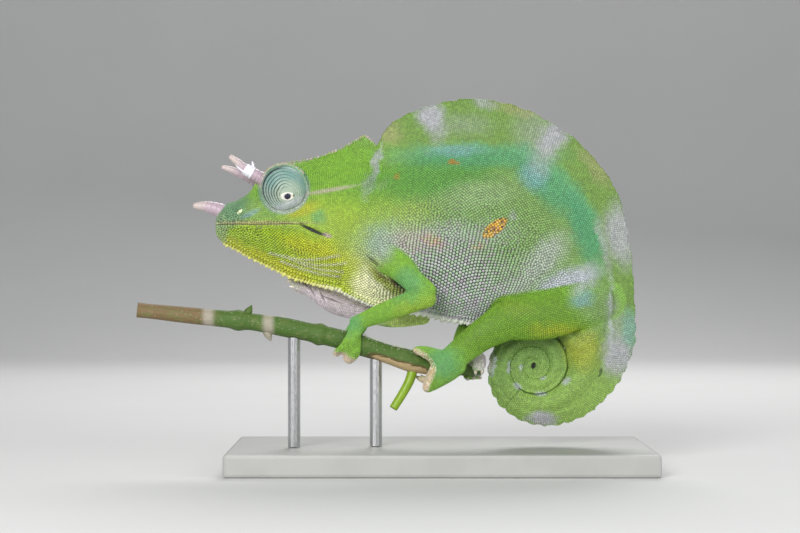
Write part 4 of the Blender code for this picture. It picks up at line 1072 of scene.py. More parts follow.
class Finish(Graph):
    """A material in the making: its graph, its shader's inputs, its place and the colours laid so far."""

    def __init__(self, name, colour, roughness=0.55, coat=0.0):
        self.material = bpy.data.materials.new(name)
        self.material.use_nodes = True
        super().__init__(self.material.node_tree)
        self.shader = self.tree.nodes["Principled BSDF"].inputs
        self.shader["Roughness"].default_value = roughness
        self.shader["Coat Weight"].default_value = coat
        self.raw = self.add("ShaderNodeTexCoord").outputs["Object"]
        self.place = self.vector("SCALE", self.raw, scale=1.0 / MM)
        self.colour = colour

    def lay(self, share, colour, blend="MIX"):
        """Lays one more colour over the others."""
        self.colour = self.mix(share, self.colour, colour, blend)

    def clouds(self, scale, low, high, most=1.0, detail=2.0):
        """Soft patches, as a share up to a most."""
        return self.ramp(self.noise(self.place, scale, detail), low, high, 0.0, most)

    def x(self):
        """How far along the body a place lies."""
        return self.add("ShaderNodeSeparateXYZ", {0: self.place}).outputs[0]

    def side_distance(self, x, z):
        """How far a place lies from a point in the side view."""
        return self.vector("DISTANCE", self.vector("MULTIPLY", self.place, (1.0, 0.0, 1.0)), (x, 0.0, z))

    def done(self, height=None, strength=0.0, distance=0.0002):
        """Joins the colour to the shader, and a height as bumps, and gives the material."""
        self.put(self.shader["Base Color"], self.colour)
        if height is not None:
            given = {"Strength": strength, "Distance": distance, "Height": height}
            self.put(self.shader["Normal"], self.add("ShaderNodeBump", given).outputs[0])
        return self.material


def soft_spot_group():
    """A mask that fades from 1 inside an oval spot to 0 outside it."""
    spot = Group("soft_spot", "ShaderNodeTree",
                 (("Place", "vector"), ("Centre", "vector"), ("Reach", "vector"), ("Turn", "number"),
                  ("Softness", "number"), ("Strength", "number")),
                 (("Mask", "number"),))
    offset = spot.vector("SUBTRACT", spot.given["Place"], spot.given["Centre"])
    given = {"Vector": offset, "Angle": spot.given["Turn"]}
    turned = spot.add("ShaderNodeVectorRotate", given, rotation_type="Y_AXIS").outputs[0]
    away = spot.vector("LENGTH", spot.vector("DIVIDE", turned, spot.given["Reach"]))
    inner, outer = (spot.math(step, 1.0, spot.given["Softness"]) for step in ("SUBTRACT", "ADD"))
    spot.put(spot.result["Mask"], spot.times(spot.ramp(away, inner, outer, 1.0, 0.0), spot.given["Strength"]))
    return spot.tree


def markings_group():
    """The animal's own colours by place, with painted shade and painted light in a few marks, shared by skin
    and scales.
    """
    graph = Group("markings", "ShaderNodeTree",
                  (("Place", "vector"), ("Limb", "number"), ("Crest", "number")),
                  (("Color", "colour"), ("Mottle", "number")))
    place = graph.vector("SCALE", graph.given["Place"], scale=1.0 / MM)
    warped = place
    for scale, reach in ((0.16, 5.0), (0.55, 2.6)):
        wobble = graph.vector("SUBTRACT", graph.noise(place, scale, output=1), (0.5, 0.5, 0.5))
        warped = graph.vector("ADD", warped, graph.vector("SCALE", wobble, scale=reach))
    spot = soft_spot_group()
    limb = graph.given["Limb"]
    parts = {"limb": limb, "body": graph.math("SUBTRACT", 1.0, limb)}
    colour = graph.mix(graph.given["Crest"], COLOURS["body_green"], COLOURS["crest_green"])
    colour = graph.mix(limb, colour, COLOURS["limb_green"])
    for where, marks in MARKS:
        for name, x, z, along, up, turn, softness, strength, *across in marks:
            y, wide = across or (0.0, FAR)
            sharp = softness < 0.3 or up < 1.2
            given = {"Place": place if sharp else warped, "Centre": (x, y, z), "Reach": (along, wide, up),
                     "Turn": -math.radians(turn), "Softness": softness, "Strength": strength}
            share = graph.add("ShaderNodeGroup", given, node_tree=spot).outputs[0]
            if where in parts:
                share = graph.times(share, parts[where])
            paint = COLOURS[name]
            if name == "ochre":
                paint = graph.mix(graph.ramp(graph.cells(place, 0.72), 0.3, 0.46), (0.16, 0.07, 0.01), paint)
            colour = graph.mix(share, colour, paint)
    mottle = graph.noise(place, 0.9, 3.0)
    shade = graph.grey(graph.line(mottle, 0.3, 0.7, 0.86, 1.12))
    graph.put(graph.result["Color"], graph.mix(1.0, colour, shade, "MULTIPLY"))
    graph.put(graph.result["Mottle"], mottle)
    return graph.tree


def hide_material(name, markings, scales):
    """Skin between the scales, or the scales themselves, in the animal's markings; the skin between them also
    gets painted shade, deepest on the low flank and the jaw.
    """
    hide = Finish(name, None)
    given = {"Place": hide.raw, "Limb": hide.attribute("limb"), "Crest": hide.attribute("crest")}
    marks = hide.add("ShaderNodeGroup", given, node_tree=markings).outputs
    hide.colour = marks["Color"]
    hide.lay(hide.times(hide.attribute("fold"), 0.75), (0.55, 0.52, 0.5))
    groove = hide.attribute("groove")
    if scales:
        tint = hide.attribute("tint")
        low = hide.ramp(groove, 0.4, 0.8)
        hide.lay(hide.times(hide.ramp(tint, 0.52, 0.66), hide.times(low, 0.62)), (0.24, 0.4, 0.2))
        hide.lay(hide.times(hide.line(tint, 0.2, 0.1), hide.times(low, 0.5)), (0.5, 0.4, 0.5))
        shade = hide.line(tint, 0.0, 1.0, 0.86, 1.2)
        relief = hide.noise(hide.place, 6.0), 0.15
    else:
        # Painted shade: the skin between the scales is darkened, most where the groove value is high.
        shade = hide.line(groove, 0.1, 1.0, 0.62, 0.1)
        relief = hide.cells(hide.place, 2.2), 0.4
    hide.lay(1.0, hide.grey(shade), "MULTIPLY")
    hide.shader["Subsurface Weight"].default_value = 0.06
    hide.shader["Subsurface Radius"].default_value = (0.0012, 0.0009, 0.0004)
    hide.put(hide.shader["Roughness"], hide.ramp(marks["Mottle"], 0.3, 0.7, 0.45, 0.62))
    return hide.done(*relief)


def dome(name, sides, height, sunk):
    """A small low dome of unit radius for one scale, with its own flat patch of map."""
    points = [(radius * cosine, radius * sine, level)
              for radius, level in ((1.0, -sunk), (0.72, height * 0.78)) for cosine, sine in circle(sides)]
    points.append((0.0, 0.0, height))
    faces = [tuple(range(sides))[::-1]]
    for k in range(sides):
        j = (k + 1) % sides
        faces += [(k, j, sides + j, sides + k), (sides + k, sides + j, 2 * sides)]
    mesh = bpy.data.meshes.new(name)
    mesh.from_pydata(points, [], faces)
    mesh.shade_smooth()
    patch = mesh.attributes.new("patch", "FLOAT_VECTOR", "POINT")
    patch.data.foreach_set("vector", [value * PATCH_REACH for x, y, _ in points for value in (x, y, 0.0)])
    item = new_object(name, mesh)
    item.hide_render = True
    return item


def spine_shape(name, sides, bend):
    """A unit spine that leans over a little towards its tip."""
    rings = []
    for level, radius in ((-0.9, 0.95), (0.0, 1.0), (0.7, 0.76), (1.25, 0.42)):
        lean = bend * max(0.0, level) ** 2
        rings.append([Vector((radius * cosine + lean, radius * sine, level)) / MM
                      for cosine, sine in circle(sides)])
    item = ring_solid(name, rings, tips=(None, Vector((bend * 2.2, 0.0, 1.6)) / MM))
    item.hide_render = True
    return item


@cache
def shapes_tree(on_skin):
    """Geometry nodes that stand a shape on each point; on the skin it takes the lie and the map there."""
    tree = Group("scales_on_skin" if on_skin else "studs_on_points", "GeometryNodeTree",
                 (("Geometry", "geometry"), ("Skin", "object"), ("Shape", "object"), ("Growth", "number"),
                  ("Height", "number"), ("Material", "material")), (("Geometry", "geometry"),))

    def named(name, kind="FLOAT_VECTOR"):
        return tree.add("GeometryNodeInputNamedAttribute", {"Name": name}, data_type=kind).outputs[0]

    def keep(geometry, name, value, kind, domain):
        given = {"Geometry": geometry, "Name": name, "Value": value}
        return tree.add("GeometryNodeStoreNamedAttribute", given, data_type=kind, domain=domain).outputs[0]

    def from_skin(name):
        skin = tree.add("GeometryNodeObjectInfo", {"Object": tree.given["Skin"]}).outputs["Geometry"]
        given = {"Mesh": skin, "Value": named(name)}
        return tree.add("GeometryNodeSampleNearestSurface", given, data_type="FLOAT_VECTOR").outputs[0]

    points = tree.add("GeometryNodeMeshToPoints", {"Mesh": tree.given["Geometry"]}).outputs["Points"]
    if on_skin:
        points = keep(points, "root_map", from_skin("OFBake"), "FLOAT_VECTOR", "POINT")
    lie = {"Vector": from_skin("lie") if on_skin else named("lie")}
    wide, high = (tree.times(named("size", "FLOAT"), tree.given[name]) for name in ("Growth", "Height"))
    given = {
        "Points": points,
        "Instance": tree.add("GeometryNodeObjectInfo", {"Object": tree.given["Shape"]}).outputs["Geometry"],
        "Rotation": tree.add("FunctionNodeAlignRotationToVector", lie, axis="Z").outputs["Rotation"],
        "Scale": tree.add("ShaderNodeCombineXYZ", {0: wide, 1: wide, 2: high}).outputs[0],
    }
    placed = tree.add("GeometryNodeInstanceOnPoints", given).outputs["Instances"]
    coat = tree.add("GeometryNodeRealizeInstances", {"Geometry": placed}).outputs["Geometry"]
    if on_skin:
        coat = keep(coat, "OFBake", tree.vector("ADD", named("root_map"), named("patch")), "FLOAT2", "CORNER")
    given = {"Geometry": coat, "Material": tree.given["Material"]}
    tree.put(tree.result["Geometry"], tree.add("GeometryNodeSetMaterial", given).outputs["Geometry"])
    return tree


def grow(name, rows, tints, sizes, tree, material, **inputs):
    """Stands a shape on each place of the rows, and keeps the result as a plain mesh."""
    mesh = bpy.data.meshes.new(name)
    mesh.from_pydata([Vector(place) * MM for place, _, _ in rows], [], [])
    mark_regions(mesh)
    store(mesh, "tint", tints)
    store(mesh, "size", np.array(sizes) * MM)
    lie = mesh.attributes.new("lie", "FLOAT_VECTOR", "POINT")
    lie.data.foreach_set("vector", [value for _, way, _ in rows for value in Vector(way).normalized()])
    item = new_object(name, mesh)
    modifier = item.modifiers.new("shapes", "NODES")
    modifier.node_group = tree.tree
    for title, value in (*inputs.items(), ("Material", material)):
        modifier[tree.sockets[title]] = value
    keep_modifiers(item)
    return item


def add_scales(name, places, skin, tree, shape, growth, height, material):
    """One coat piece: a scale on each place, with the skin's own map."""
    draw = np.random.default_rng(len(places))
    tints = draw.random(len(places))
    sizes = np.array([size for _, _, size in places]) * draw.uniform(0.92, 1.08, len(places))
    item = grow(name, places, tints, sizes, tree, material,
                Skin=skin, Shape=shape, Growth=growth, Height=height)
    for spare in ("root_map", "patch", "size", "lie"):
        if spare in item.data.attributes:
            item.data.attributes.remove(item.data.attributes[spare])
    return settle(item, material, "skin_body")


def add_studs(name, studs, shape, material, slot):
    """A row or field of small pieces; studs hold place, direction and size in millimetres."""
    draw = random.Random(len(studs))
    tints = [draw.random() for _ in studs]
    sizes = [size for _, _, size in studs]
    item = grow(name, studs, tints, sizes, shapes_tree(False), material, Shape=shape, Growth=1.0, Height=1.0)
    return settle(item, material, slot)


def skin_tree(item):
    """A search tree of an object's surface."""
    shape = bmesh.new()
    shape.from_mesh(item.data)
    tree = BVHTree.FromBMesh(shape)
    shape.free()
    return tree


def nearest(tree, point):
    """The nearest place on the skin, and which way it faces."""
    place, normal, _, _ = tree.find_nearest(Vector(point) * MM)
    return place / MM, normal


def side_point(tree, x, z, side):
    """Where a level line across the body first meets its left (-1) or right (1) side."""
    place, normal, _, _ = tree.ray_cast(Vector((x, side * FAR, z)) * MM, Vector((0.0, -side, 0.0)))
    return (place / MM, normal) if place is not None else nearest(tree, (x, 0.0, z))


class CHAM_OT_skin(Operator):
    """Makes the one skin of head, body, limbs and tail"""
    bl_idname = "chameleon.skin"
    bl_label = "Skin"

    def execute(self, context):
        skin = context.scene.chameleon_skin
        inset = skin.depth / MM
        item = join("skin", flesh_parts(inset))
        voxel = item.modifiers.new("one_skin", "REMESH")
        voxel.mode = "VOXEL"
        voxel.voxel_size = skin.voxel
        ease = item.modifiers.new("ease", "SMOOTH")
        ease.factor = 0.5
        ease.iterations = skin.smooth
        keep_modifiers(item)
        shape_forms(item)
        coil = tail_shape("coil_form", COIL_START - 3.0, TAIL[-1][0], 0.6, 32, inset)
        plug_keys = [(COIL_CENTRE[0], y, COIL_CENTRE[1], PLUG_RADIUS) for y in (-0.5, 0.5)]
        item = join("skin", [item, coil, tube("coil_plug", plug_keys, 4, 20, across=(1, 0, 0))])
        mark_regions(item.data)
        unwrap(item)
        lie = item.data.attributes.new("lie", "FLOAT_VECTOR", "POINT")
        lie.data.foreach_set("vector", co_array(item.data, "vertex_normals", "vector").ravel())
        item.data.shade_smooth()
        markings = markings_group()
        nodes = [*LIMBS, *FEET, "head", "torso", "tail_base", "tail_bend", "tail_coil", "tail_tip"]
        settle(item, hide_material("skin_between_scales", markings, False), "skin_body", *nodes)
        hide_material("scale_finish", markings, True)
        return {"FINISHED"}


def body_spacing(points):
    """Distance between scales on head and trunk."""
    values = region_values(points)
    return 0.86 + 0.42 * values["low"] + 0.08 * values["mid"] + 0.06 * values["jaw"] - 0.08 * values["crest"]


def face_spacing(points):
    """Distance between scales on the head: fine above, coarser on the jaw."""
    return 0.72 + 0.18 * (1.0 - smooth_step(points[:, 2] + JAW_SLOPE * points[:, 0], 56.0, 68.0))


def clear_of_face(found):
    """Leaves room for the eyes, the mouth, the nostrils and the horns' roots."""
    side = found[:, [0, 2]]
    centre = np.array(EYE_CENTRE)
    across = np.abs(found[:, 1]) - centre[1]
    eye = np.sqrt((side[:, 0] - centre[0]) ** 2 + across ** 2 + (side[:, 1] - centre[2]) ** 2)
    clear = (eye > EYE_RADIUS + 0.9) & (line_distance(side, MOUTH[:5]) > 1.05)
    clear &= line_distance(side, MOUTH_CORNER) > 0.62
    clear &= np.hypot(side[:, 0] - NOSTRIL[0], side[:, 1] - NOSTRIL[1]) > 1.2
    return found[clear]


def flat_ends(row):
    """Top and bottom of a row of the head or the trunk."""
    return row[:2], row[2:4]


def tail_ends(angle):
    """Outer and inner edge of the tail at an angle round the coil."""
    outer, depth, _, _ = tail_row(angle)
    return coil_point(angle, outer), coil_point(angle, outer - depth)


def tail_width(share, angle):
    """Half width of the tail at shares of the way in from its outer edge."""
    _, _, half, crest = tail_row(angle)
    return crest_width(share, crest, half, min(CREST_EDGE, half * 0.5), min(CREST_ROOT, half * 0.7))


def scale_places(fine, toe):
    """Places of the scales on each part, as x, y, z and size, before they settle on the skin."""
    shares = np.linspace(0.0, 1.0, 150)
    head = form_grid(spline(HEAD, 260), flat_ends, head_width, shares)
    trunk = form_grid(spline(TRUNK, 320), flat_ends, trunk_width, shares)
    tail = form_grid(np.linspace(TAIL[0][0], TAIL[-1][0], 900), tail_ends, tail_width, shares)
    front = [(HEAD[0][0], y + 0.38 * (row % 2), z, 0.38) for row, z in enumerate(np.arange(83.0, 92.4, 0.66))
             for y in np.arange(-3.8, 3.9, 0.76)]
    feet = [limb_lattice(keys, toe, across) for keys, across in mitts()]
    for foot in FEET:
        toes, palm = foot_routes(foot)
        feet.append(limb_lattice(palm, toe))
        feet += [limb_lattice(route, toe, ASKEW) for route in toes]
    return {
        "face": np.vstack((clear_of_face(both_sides(lattice(head, 0.5, face_spacing))),
                           clear_of_face(np.array(front)))),
        "trunk": both_sides(lattice(trunk, 0.65, body_spacing)),
        "tail": both_sides(lattice(tail, 0.5, lambda points: np.full(len(points), fine))),
        "limbs": np.vstack([limb_lattice(keys, fine) for keys in LIMBS.values()]),
        "feet": np.vstack(feet),
    }


class CHAM_OT_scales(Operator):
    """Sets the scales in rows over head, trunk, tail and limbs"""
    bl_idname = "chameleon.scales"
    bl_label = "Scales"

    def execute(self, context):
        coat = context.scene.chameleon_coat
        skin = bpy.data.objects["skin"]
        tree = shapes_tree(True)
        scale = dome("round_scale", 6, 1.0, 0.9)
        finish = bpy.data.materials["scale_finish"]
        places = scale_places(coat.fine / MM, coat.toes / MM)
        order = list(places)
        tagged = np.vstack([np.column_stack((found, np.full(len(found), tag)))
                            for tag, found in enumerate(places.values())])
        settled = settle_places(tagged, skin_tree(skin))
        on_crest = trunk_share(np.array([spot for spot, _, _, _ in settled])) < 1.0
        groups = {}
        for (spot, normal, size, tag), crest in zip(settled, on_crest):
            name = order[int(tag)]
            if name == "trunk" and crest:
                name = "crest"
            if name in ("face", "crest", "trunk"):
                name += "_left" if spot.y < 0 else "_right"
            groups.setdefault(name, []).append((spot, normal, size))
        for name, rows in groups.items():
            low = name.startswith("crest") or name == "tail"
            growth = 1.13 if low or name.startswith("face") else 1.05
            height = 0.34 if low else 0.58
            add_scales(f"scales_{name}", rows, skin, tree, scale, growth, height, finish)
        bpy.data.objects.remove(scale)
        return {"FINISHED"}


def horn_material():
    """Ringed horn that goes from lilac to cream at its tip, with painted shade in the grooves between its
    rings.
    """
    colours = bpy.context.scene.chameleon_colours
    horn = Finish("horn_finish", colours.horn, 0.42, 0.1)
    tip = horn.attribute("tip")
    cloud = horn.noise(horn.place, 0.9, 3.0)
    horn.lay(horn.ramp(tip, 0.55, 0.95), colours.horn_tip)
    horn.lay(horn.ramp(cloud, 0.35, 0.7, 0.0, 0.45), (0.55, 0.45, 0.53))
    horn.lay(horn.ramp(horn.math("MULTIPLY_ADD", cloud, 0.15, tip), 0.12, 0.34, 0.8, 0.0), (0.4, 0.3, 0.24))
    # Painted shade in the grooves between the rings.
    horn.lay(horn.ramp(horn.attribute("ring"), 0.3, 1.0, 0.0, 0.55), (0.24, 0.15, 0.2))
    return horn.done(horn.noise(horn.place, 4.0, 3.0), 0.25)


def horn_groove(share):
    """The grooves between a horn's rings, as a sunk height along it."""
    return -0.24 * math.exp(-(math.sin(share * HORN_RINGS) / 0.35) ** 2) * (1.0 - share) ** 0.7


class CHAM_OT_horns(Operator):
    """Makes the three ringed horns and the scrap of shed skin on one of them"""
    bl_idname = "chameleon.horns"
    bl_label = "Horns"

    def execute(self, context):
        material = horn_material()
        for name, keys in HORNS.items():
            item = tube(name + "_ringed", keys, 110, 28, ripple=horn_groove, rounded=True)
            root = np.array(keys[0][:3])
            reach = np.linalg.norm(np.array(keys[-1][:3]) - root)
            share = np.linalg.norm(co_array(item.data) / MM - root, axis=1) / reach
            store(item.data, "tip", share)
            # The ring value follows the grooves, where the finish paints shade.
            ring = np.exp(-(np.sin(share * HORN_RINGS) / 0.3) ** 2)
            store(item.data, "ring", ring * np.clip(1.0 - share, 0.0, 1.0))
            settle(item, material, "horn", name)
        scrap = Finish("shed_skin_finish", (0.74, 0.72, 0.8), 0.6)
        scrap.lay(scrap.noise(scrap.place, 1.5), (0.88, 0.88, 0.92))
        draw = random.Random(2)
        jags = [draw.uniform(-0.12, 0.22) for _ in range(13)]
        sleeve, flake, strip = SHED_SKIN
        parts = [tube("shed_sleeve", sleeve, 14, 18, ripple=lambda share: jags[int(share * 12)])]
        parts += [tube("shed_strip", keys, 10, 8, rounded=True) for keys in (flake, strip)]
        settle(join("shed_skin", parts), scrap.done(), "horn")
        return {"FINISHED"}


def eye_frame(side):
    """Centre and three axes of a turret: outward, and two across."""
    centre = Vector((EYE_CENTRE[0], side * EYE_CENTRE[1], EYE_CENTRE[2]))
    axis = Vector((EYE_LOOK[0], side * EYE_LOOK[1], EYE_LOOK[2])).normalized()
    across = square_to(Vector((1.0, 0.0, 0.0)), axis)
    rise = axis.cross(across)
    return centre, axis, across, rise if rise.z > 0 else -rise


def turned(name, side, profile, segments):
    """A solid turned about an eye's axis from pairs of height along it and radius."""
    centre, axis, across, rise = eye_frame(side)
    rings = [[centre + axis * height + (across * cosine + rise * sine) * radius
              for cosine, sine in circle(segments)] for height, radius in profile[1:-1]]
    return ring_solid(name, rings, tips=[centre + axis * profile[end][0] for end in (0, -1)])


def fold_wobble(way):
    """How far the folds stray from round, in folds, by way round the pupil."""
    return 0.3 * np.sin(2 * way + 1.0) + 0.15 * np.sin(5 * way + 2.0)


def pupil_offset():
    """Where the pupil lies in the side view, from the turret's middle."""
    return np.array((EYE_LOOK[0], EYE_LOOK[2])) * (EYE_RADIUS / math.hypot(*EYE_LOOK))


def fold_depth(points):
    """How deep the lid's round folds are cut: most in front and low, least above and behind."""
    offset = points[:, [0, 2]] - (EYE_CENTRE[0], EYE_CENTRE[2])
    share = np.full(len(points), 0.5)
    for _ in range(24):
        away = offset - pupil_offset() * (1.0 - share)[:, None]
        share = np.clip((np.linalg.norm(away, axis=1) - LID_RADIUS) / (EYE_RADIUS - LID_RADIUS), 0.0, 1.3)
    way = np.arctan2(away[:, 1], away[:, 0])
    front = 0.5 + 0.5 * np.cos(way - math.radians(205))
    wave = np.sin(np.pi * (share * LID_FOLDS + fold_wobble(way) * (1.0 - share)))
    width = 0.36 + 0.34 * front
    depth = np.exp(-(wave / width) ** 2) * (0.26 + 0.74 * front ** 1.3) * smooth_step(share, 0.06, 0.22)
    return np.maximum(depth, smooth_step(share, 0.85, 0.9) * front ** 1.2)


def turret_material(name, folded):
    """Blue-green lid skin, paler low behind the pupil, with painted shade as dark lines in its folds."""
    lid = Finish(name, (0.36, 0.44, 0.33), 0.5)
    x, _, z = EYE_CENTRE
    flat = lid.vector("MULTIPLY", lid.place, (1.0, 0.0, 1.0))

    def along(*way):
        offset = lid.vector("SUBTRACT", flat, (x, 0.0, z))
        return lid.vector("DOT_PRODUCT", offset, (way[0], 0.0, way[1]))

    lid.lay(lid.ramp(lid.side_distance(x + 1.6, z - 2.4), 3.2, 7.0), (0.19, 0.34, 0.3))
    lid.lay(lid.ramp(along(-0.7, -0.7), 1.5, 6.0, 0.0, 0.75), (0.4, 0.47, 0.4))
    lid.lay(lid.ramp(along(0.35, -0.93), 3.8, 5.8, 0.0, 0.9), (0.5, 0.52, 0.55))
    lid.lay(lid.clouds(0.35, 0.42, 0.62, 0.4), (0.31, 0.42, 0.37))
    if folded:
        # Painted shade: near-black lines where the folds are cut deepest.
        lid.lay(lid.ramp(lid.attribute("fold"), 0.08, 0.42, 0.0, 0.97), (0.012, 0.03, 0.03))
    else:
        lid.lay(1.0, lid.grey(lid.line(lid.attribute("tint"), 0.0, 1.0, 0.92, 1.3)), "MULTIPLY")
    return lid.done(lid.noise(lid.place, 5.0), 0.2)


def folded_turret(word, side):
    """One turret with its folds cut in."""
    first = math.acos(-EYE_BACK / EYE_RADIUS)
    last = math.asin(EYE_HOLE / EYE_RADIUS)
    top = EYE_RADIUS * math.cos(last)
    profile = [(EYE_RADIUS * math.cos(turn), EYE_RADIUS * math.sin(turn))
               for turn in np.linspace(first, last, 170)]
    profile = [(-EYE_BACK, 0.0), *profile, (top - 0.9, 1.2), (top - 1.2, 0.0)]
    turret = turned(f"turret_{word}", side, profile, 96)
    points = co_array(turret.data).astype(float) / MM
    depth = fold_depth(points)
    centre = np.array(eye_frame(side)[0])
    outside = np.abs(np.linalg.norm(points - centre, axis=1) - EYE_RADIUS) < 0.05
    points -= (points - centre) / EYE_RADIUS * (FOLD_CUT * depth * outside)[:, None]
    turret.data.vertices.foreach_set("co", (points * MM).astype(np.float32).ravel())
    # The fold depth is kept for the finish, which paints shade in the folds.
    store(turret.data, "fold", depth)
    return turret


def grain_places(side):
    """Places of the grains on a turret: two rows on each fold, larger low behind the pupil."""
    studs = []
    centre = np.array(eye_frame(side)[0])
    for place in np.arange(1.0, 2.0 * LID_FOLDS) / 2.0 + 0.17 * (-1.0) ** np.arange(2 * LID_FOLDS - 1):
        reach = LID_RADIUS + place / LID_FOLDS * (EYE_RADIUS - LID_RADIUS)
        for way in np.arange(0.0, 2 * math.pi, 0.46 / reach):
            share = (place - fold_wobble(way)) / (LID_FOLDS - fold_wobble(way))
            reach = LID_RADIUS + share * (EYE_RADIUS - LID_RADIUS)
            flat = pupil_offset() * (1.0 - share) + reach * np.array((math.cos(way), math.sin(way)))
            height = EYE_RADIUS ** 2 - flat @ flat
            if height > 1.5 and share > 0.03:
                out = np.array((flat[0], side * math.sqrt(height), flat[1])) / EYE_RADIUS
                size = 0.22 + 0.07 * max(0.0, min(1.0, (0.5 * flat[0] - 0.85 * flat[1] - 1.0) / 2.5))
                studs.append((centre + out * (EYE_RADIUS - 0.05), out, size))
    return studs


def orbit_places(side, draw):
    """Places of the beads on the rim round a turret."""
    studs = []
    for row, tilt in enumerate((0.15, 0.8, 1.45, 2.1)):
        for turn in np.linspace(0.0, 2 * math.pi, 92, endpoint=False) + row * 0.034:
            hub = Vector((math.cos(turn), 0.0, math.sin(turn)))
            out = hub * math.cos(tilt) + Vector((0.0, side * math.sin(tilt), 0.0))
            middle = Vector((EYE_CENTRE[0], side * ORBIT_PLACE, EYE_CENTRE[2])) + hub * ORBIT_RADIUS
            studs.append((middle + out * (ORBIT_THICKNESS - 0.3), out, 0.31 * draw.uniform(0.85, 1.15)))
    return studs


def lid_rim(word, side):
    """The pale rim of the lid's opening, drawn out to a corner in front and behind."""
    centre, axis, across, rise = (np.array(value) for value in eye_frame(side))
    rings = []
    for radius, lift in LID_RIM:
        ring = []
        for cosine, sine in circle(64):
            corner = 0.62 * abs(cosine) ** 3.5 * min(1.0, (radius - 1.12) / 0.4)
            reach = radius * (1.0 + max(0.0, corner))
            ring.append(centre + (across * cosine + rise * sine) * reach
                        + axis * (math.sqrt(EYE_RADIUS ** 2 - reach ** 2) + lift))
        rings.append(ring)
    return ring_solid(f"lid_rim_{word}", rings)


class CHAM_OT_eyes(Operator):
    """Makes the eye turrets with their folds, granules, lid rims and eyeballs"""
    bl_idname = "chameleon.eyes"
    bl_label = "Eyes"

    def execute(self, context):
        lid = turret_material("turret_finish", True)
        grains = turret_material("turret_grain_finish", False)
        grain = dome("grain_shape", 6, 0.7, 0.8)
        rim = Finish("rim_finish", (0.16, 0.11, 0.05), 0.45)
        cream = rim.mix(rim.clouds(2.5, 0.35, 0.7), (0.7, 0.7, 0.56), (0.84, 0.81, 0.82))
        across, up = pupil_offset()
        corner = rim.side_distance(EYE_CENTRE[0] + across + 2.4, EYE_CENTRE[2] + up + 0.35)
        rim.lay(rim.ramp(corner, 0.45, 0.75), cream)
        rim_skin = rim.done()
        ball = Finish("eyeball_finish", (0.004, 0.005, 0.022), 0.06, 0.5)
        ball.lay(ball.clouds(3.0, 0.4, 0.6), (0.01, 0.012, 0.05))
        wet = ball.done()
        top = math.sqrt(EYE_RADIUS ** 2 - EYE_HOLE ** 2)
        draw = random.Random(8)
        for word, side in (("left", -1), ("right", 1)):
            settle(folded_turret(word, side), lid, "skin_eye", f"eye_turret_{word}")
            add_studs(f"turret_grains_{word}", grain_places(side), grain, grains, "skin_eye")
            beads = orbit_places(side, draw)
            add_studs(f"orbit_beads_{word}", beads, grain, bpy.data.materials["scale_finish"], "skin_head")
            settle(lid_rim(word, side), rim_skin, "skin_eye")
            profile = [(top + height, radius) for height, radius in EYEBALL]
            settle(turned(f"eyeball_{word}_wet", side, profile, 32), wet, "eyeball", f"eyeball_{word}")
        bpy.data.objects.remove(grain)
        return {"FINISHED"}


class CHAM_OT_claws(Operator):
    """Makes the curved claws on every toe"""
    bl_idname = "chameleon.claws"
    bl_label = "Claws"

    def execute(self, context):
        claw = Finish("claw_finish", (0.6, 0.52, 0.42), 0.35, 0.2)
        claw.lay(claw.clouds(1.6, 0.35, 0.7), (0.72, 0.68, 0.6))
        material = claw.done()
        for foot in FEET:
            for number, route in enumerate(foot_routes(foot)[0], 1):
                before, near, tip = (Vector(row[:3]) for row in route[-3:])
                ahead = (tip - near).normalized()
                bend = (ahead - (near - before).normalized()) * 1.6
                keys = []
                for share, radius in ((-0.2, 0.9), (0.2, 1.0), (0.5, 0.78), (0.8, 0.42), (1.0, 0.14)):
                    spot = tip + ahead * 0.3 + (ahead + bend * share) * CLAW_LENGTH * share
                    keys.append((*spot, CLAW_RADIUS * radius))
                item = tube(f"claw_{foot}_{number}_curved", keys, 12, 12, across=ASKEW, rounded=True)
                settle(item, material, "claw", f"claw_{foot}_{number}")
        return {"FINISHED"}


def keel_places(tree, draw):
    """Spines along the middle of throat and belly, and the granules beside them."""
    keys = [row[2:4] for row in HEAD[1:] + TRUNK[1:9]]
    keel = np.array(spline(keys, 400))
    run = lengths(keel)
    spines = []
    granules = []
    for i, length in enumerate(np.arange(0.4, run[-1], 1.15)):
        x, z = (np.interp(length, run, keel[:, k]) for k in (0, 1))
        ahead = np.array([np.interp(length + 1.0, run, keel[:, k]) for k in (0, 1)]) - (x, z)
        out = Vector((ahead[1], 0.0, -ahead[0])).normalized()
        out = out if out.z < 0 else -out
        out = (out + Vector((-0.35, 0.0, 0.0))).normalized()
        size = (0.98 if i % 2 else 0.72) * (1.0 + 0.35 * smooth_step(x, -24.0, -6.0))
        spines.append((nearest(tree, (x, 0.0, z))[0] - out * 0.2, out, size * draw.uniform(0.9, 1.12)))
        for side, down, size in ((-1, 0.7, 0.56), (1, 0.7, 0.56), (-1, 1.9, 0.5), (1, 1.9, 0.5)):
            near, normal = nearest(tree, (x + 0.4, side * (1.0 + down), z + down))
            granules.append((near, normal + Vector((-0.2, 0.0, -0.25)), size * draw.uniform(0.85, 1.15)))
    return spines, granules


def sole_places(tree, draw):
    """Beads along the raised edge of the left foot's sole."""
    found = [(row, side_point(tree, x + 0.3 + row * 0.55, z + 0.2 * row, -1))
             for row in range(4) for x, z in spline(SOLE_EDGE, 30)]
    return [(*place, (0.42 - 0.05 * row) * draw.uniform(0.8, 1.2)) for row, place in found]


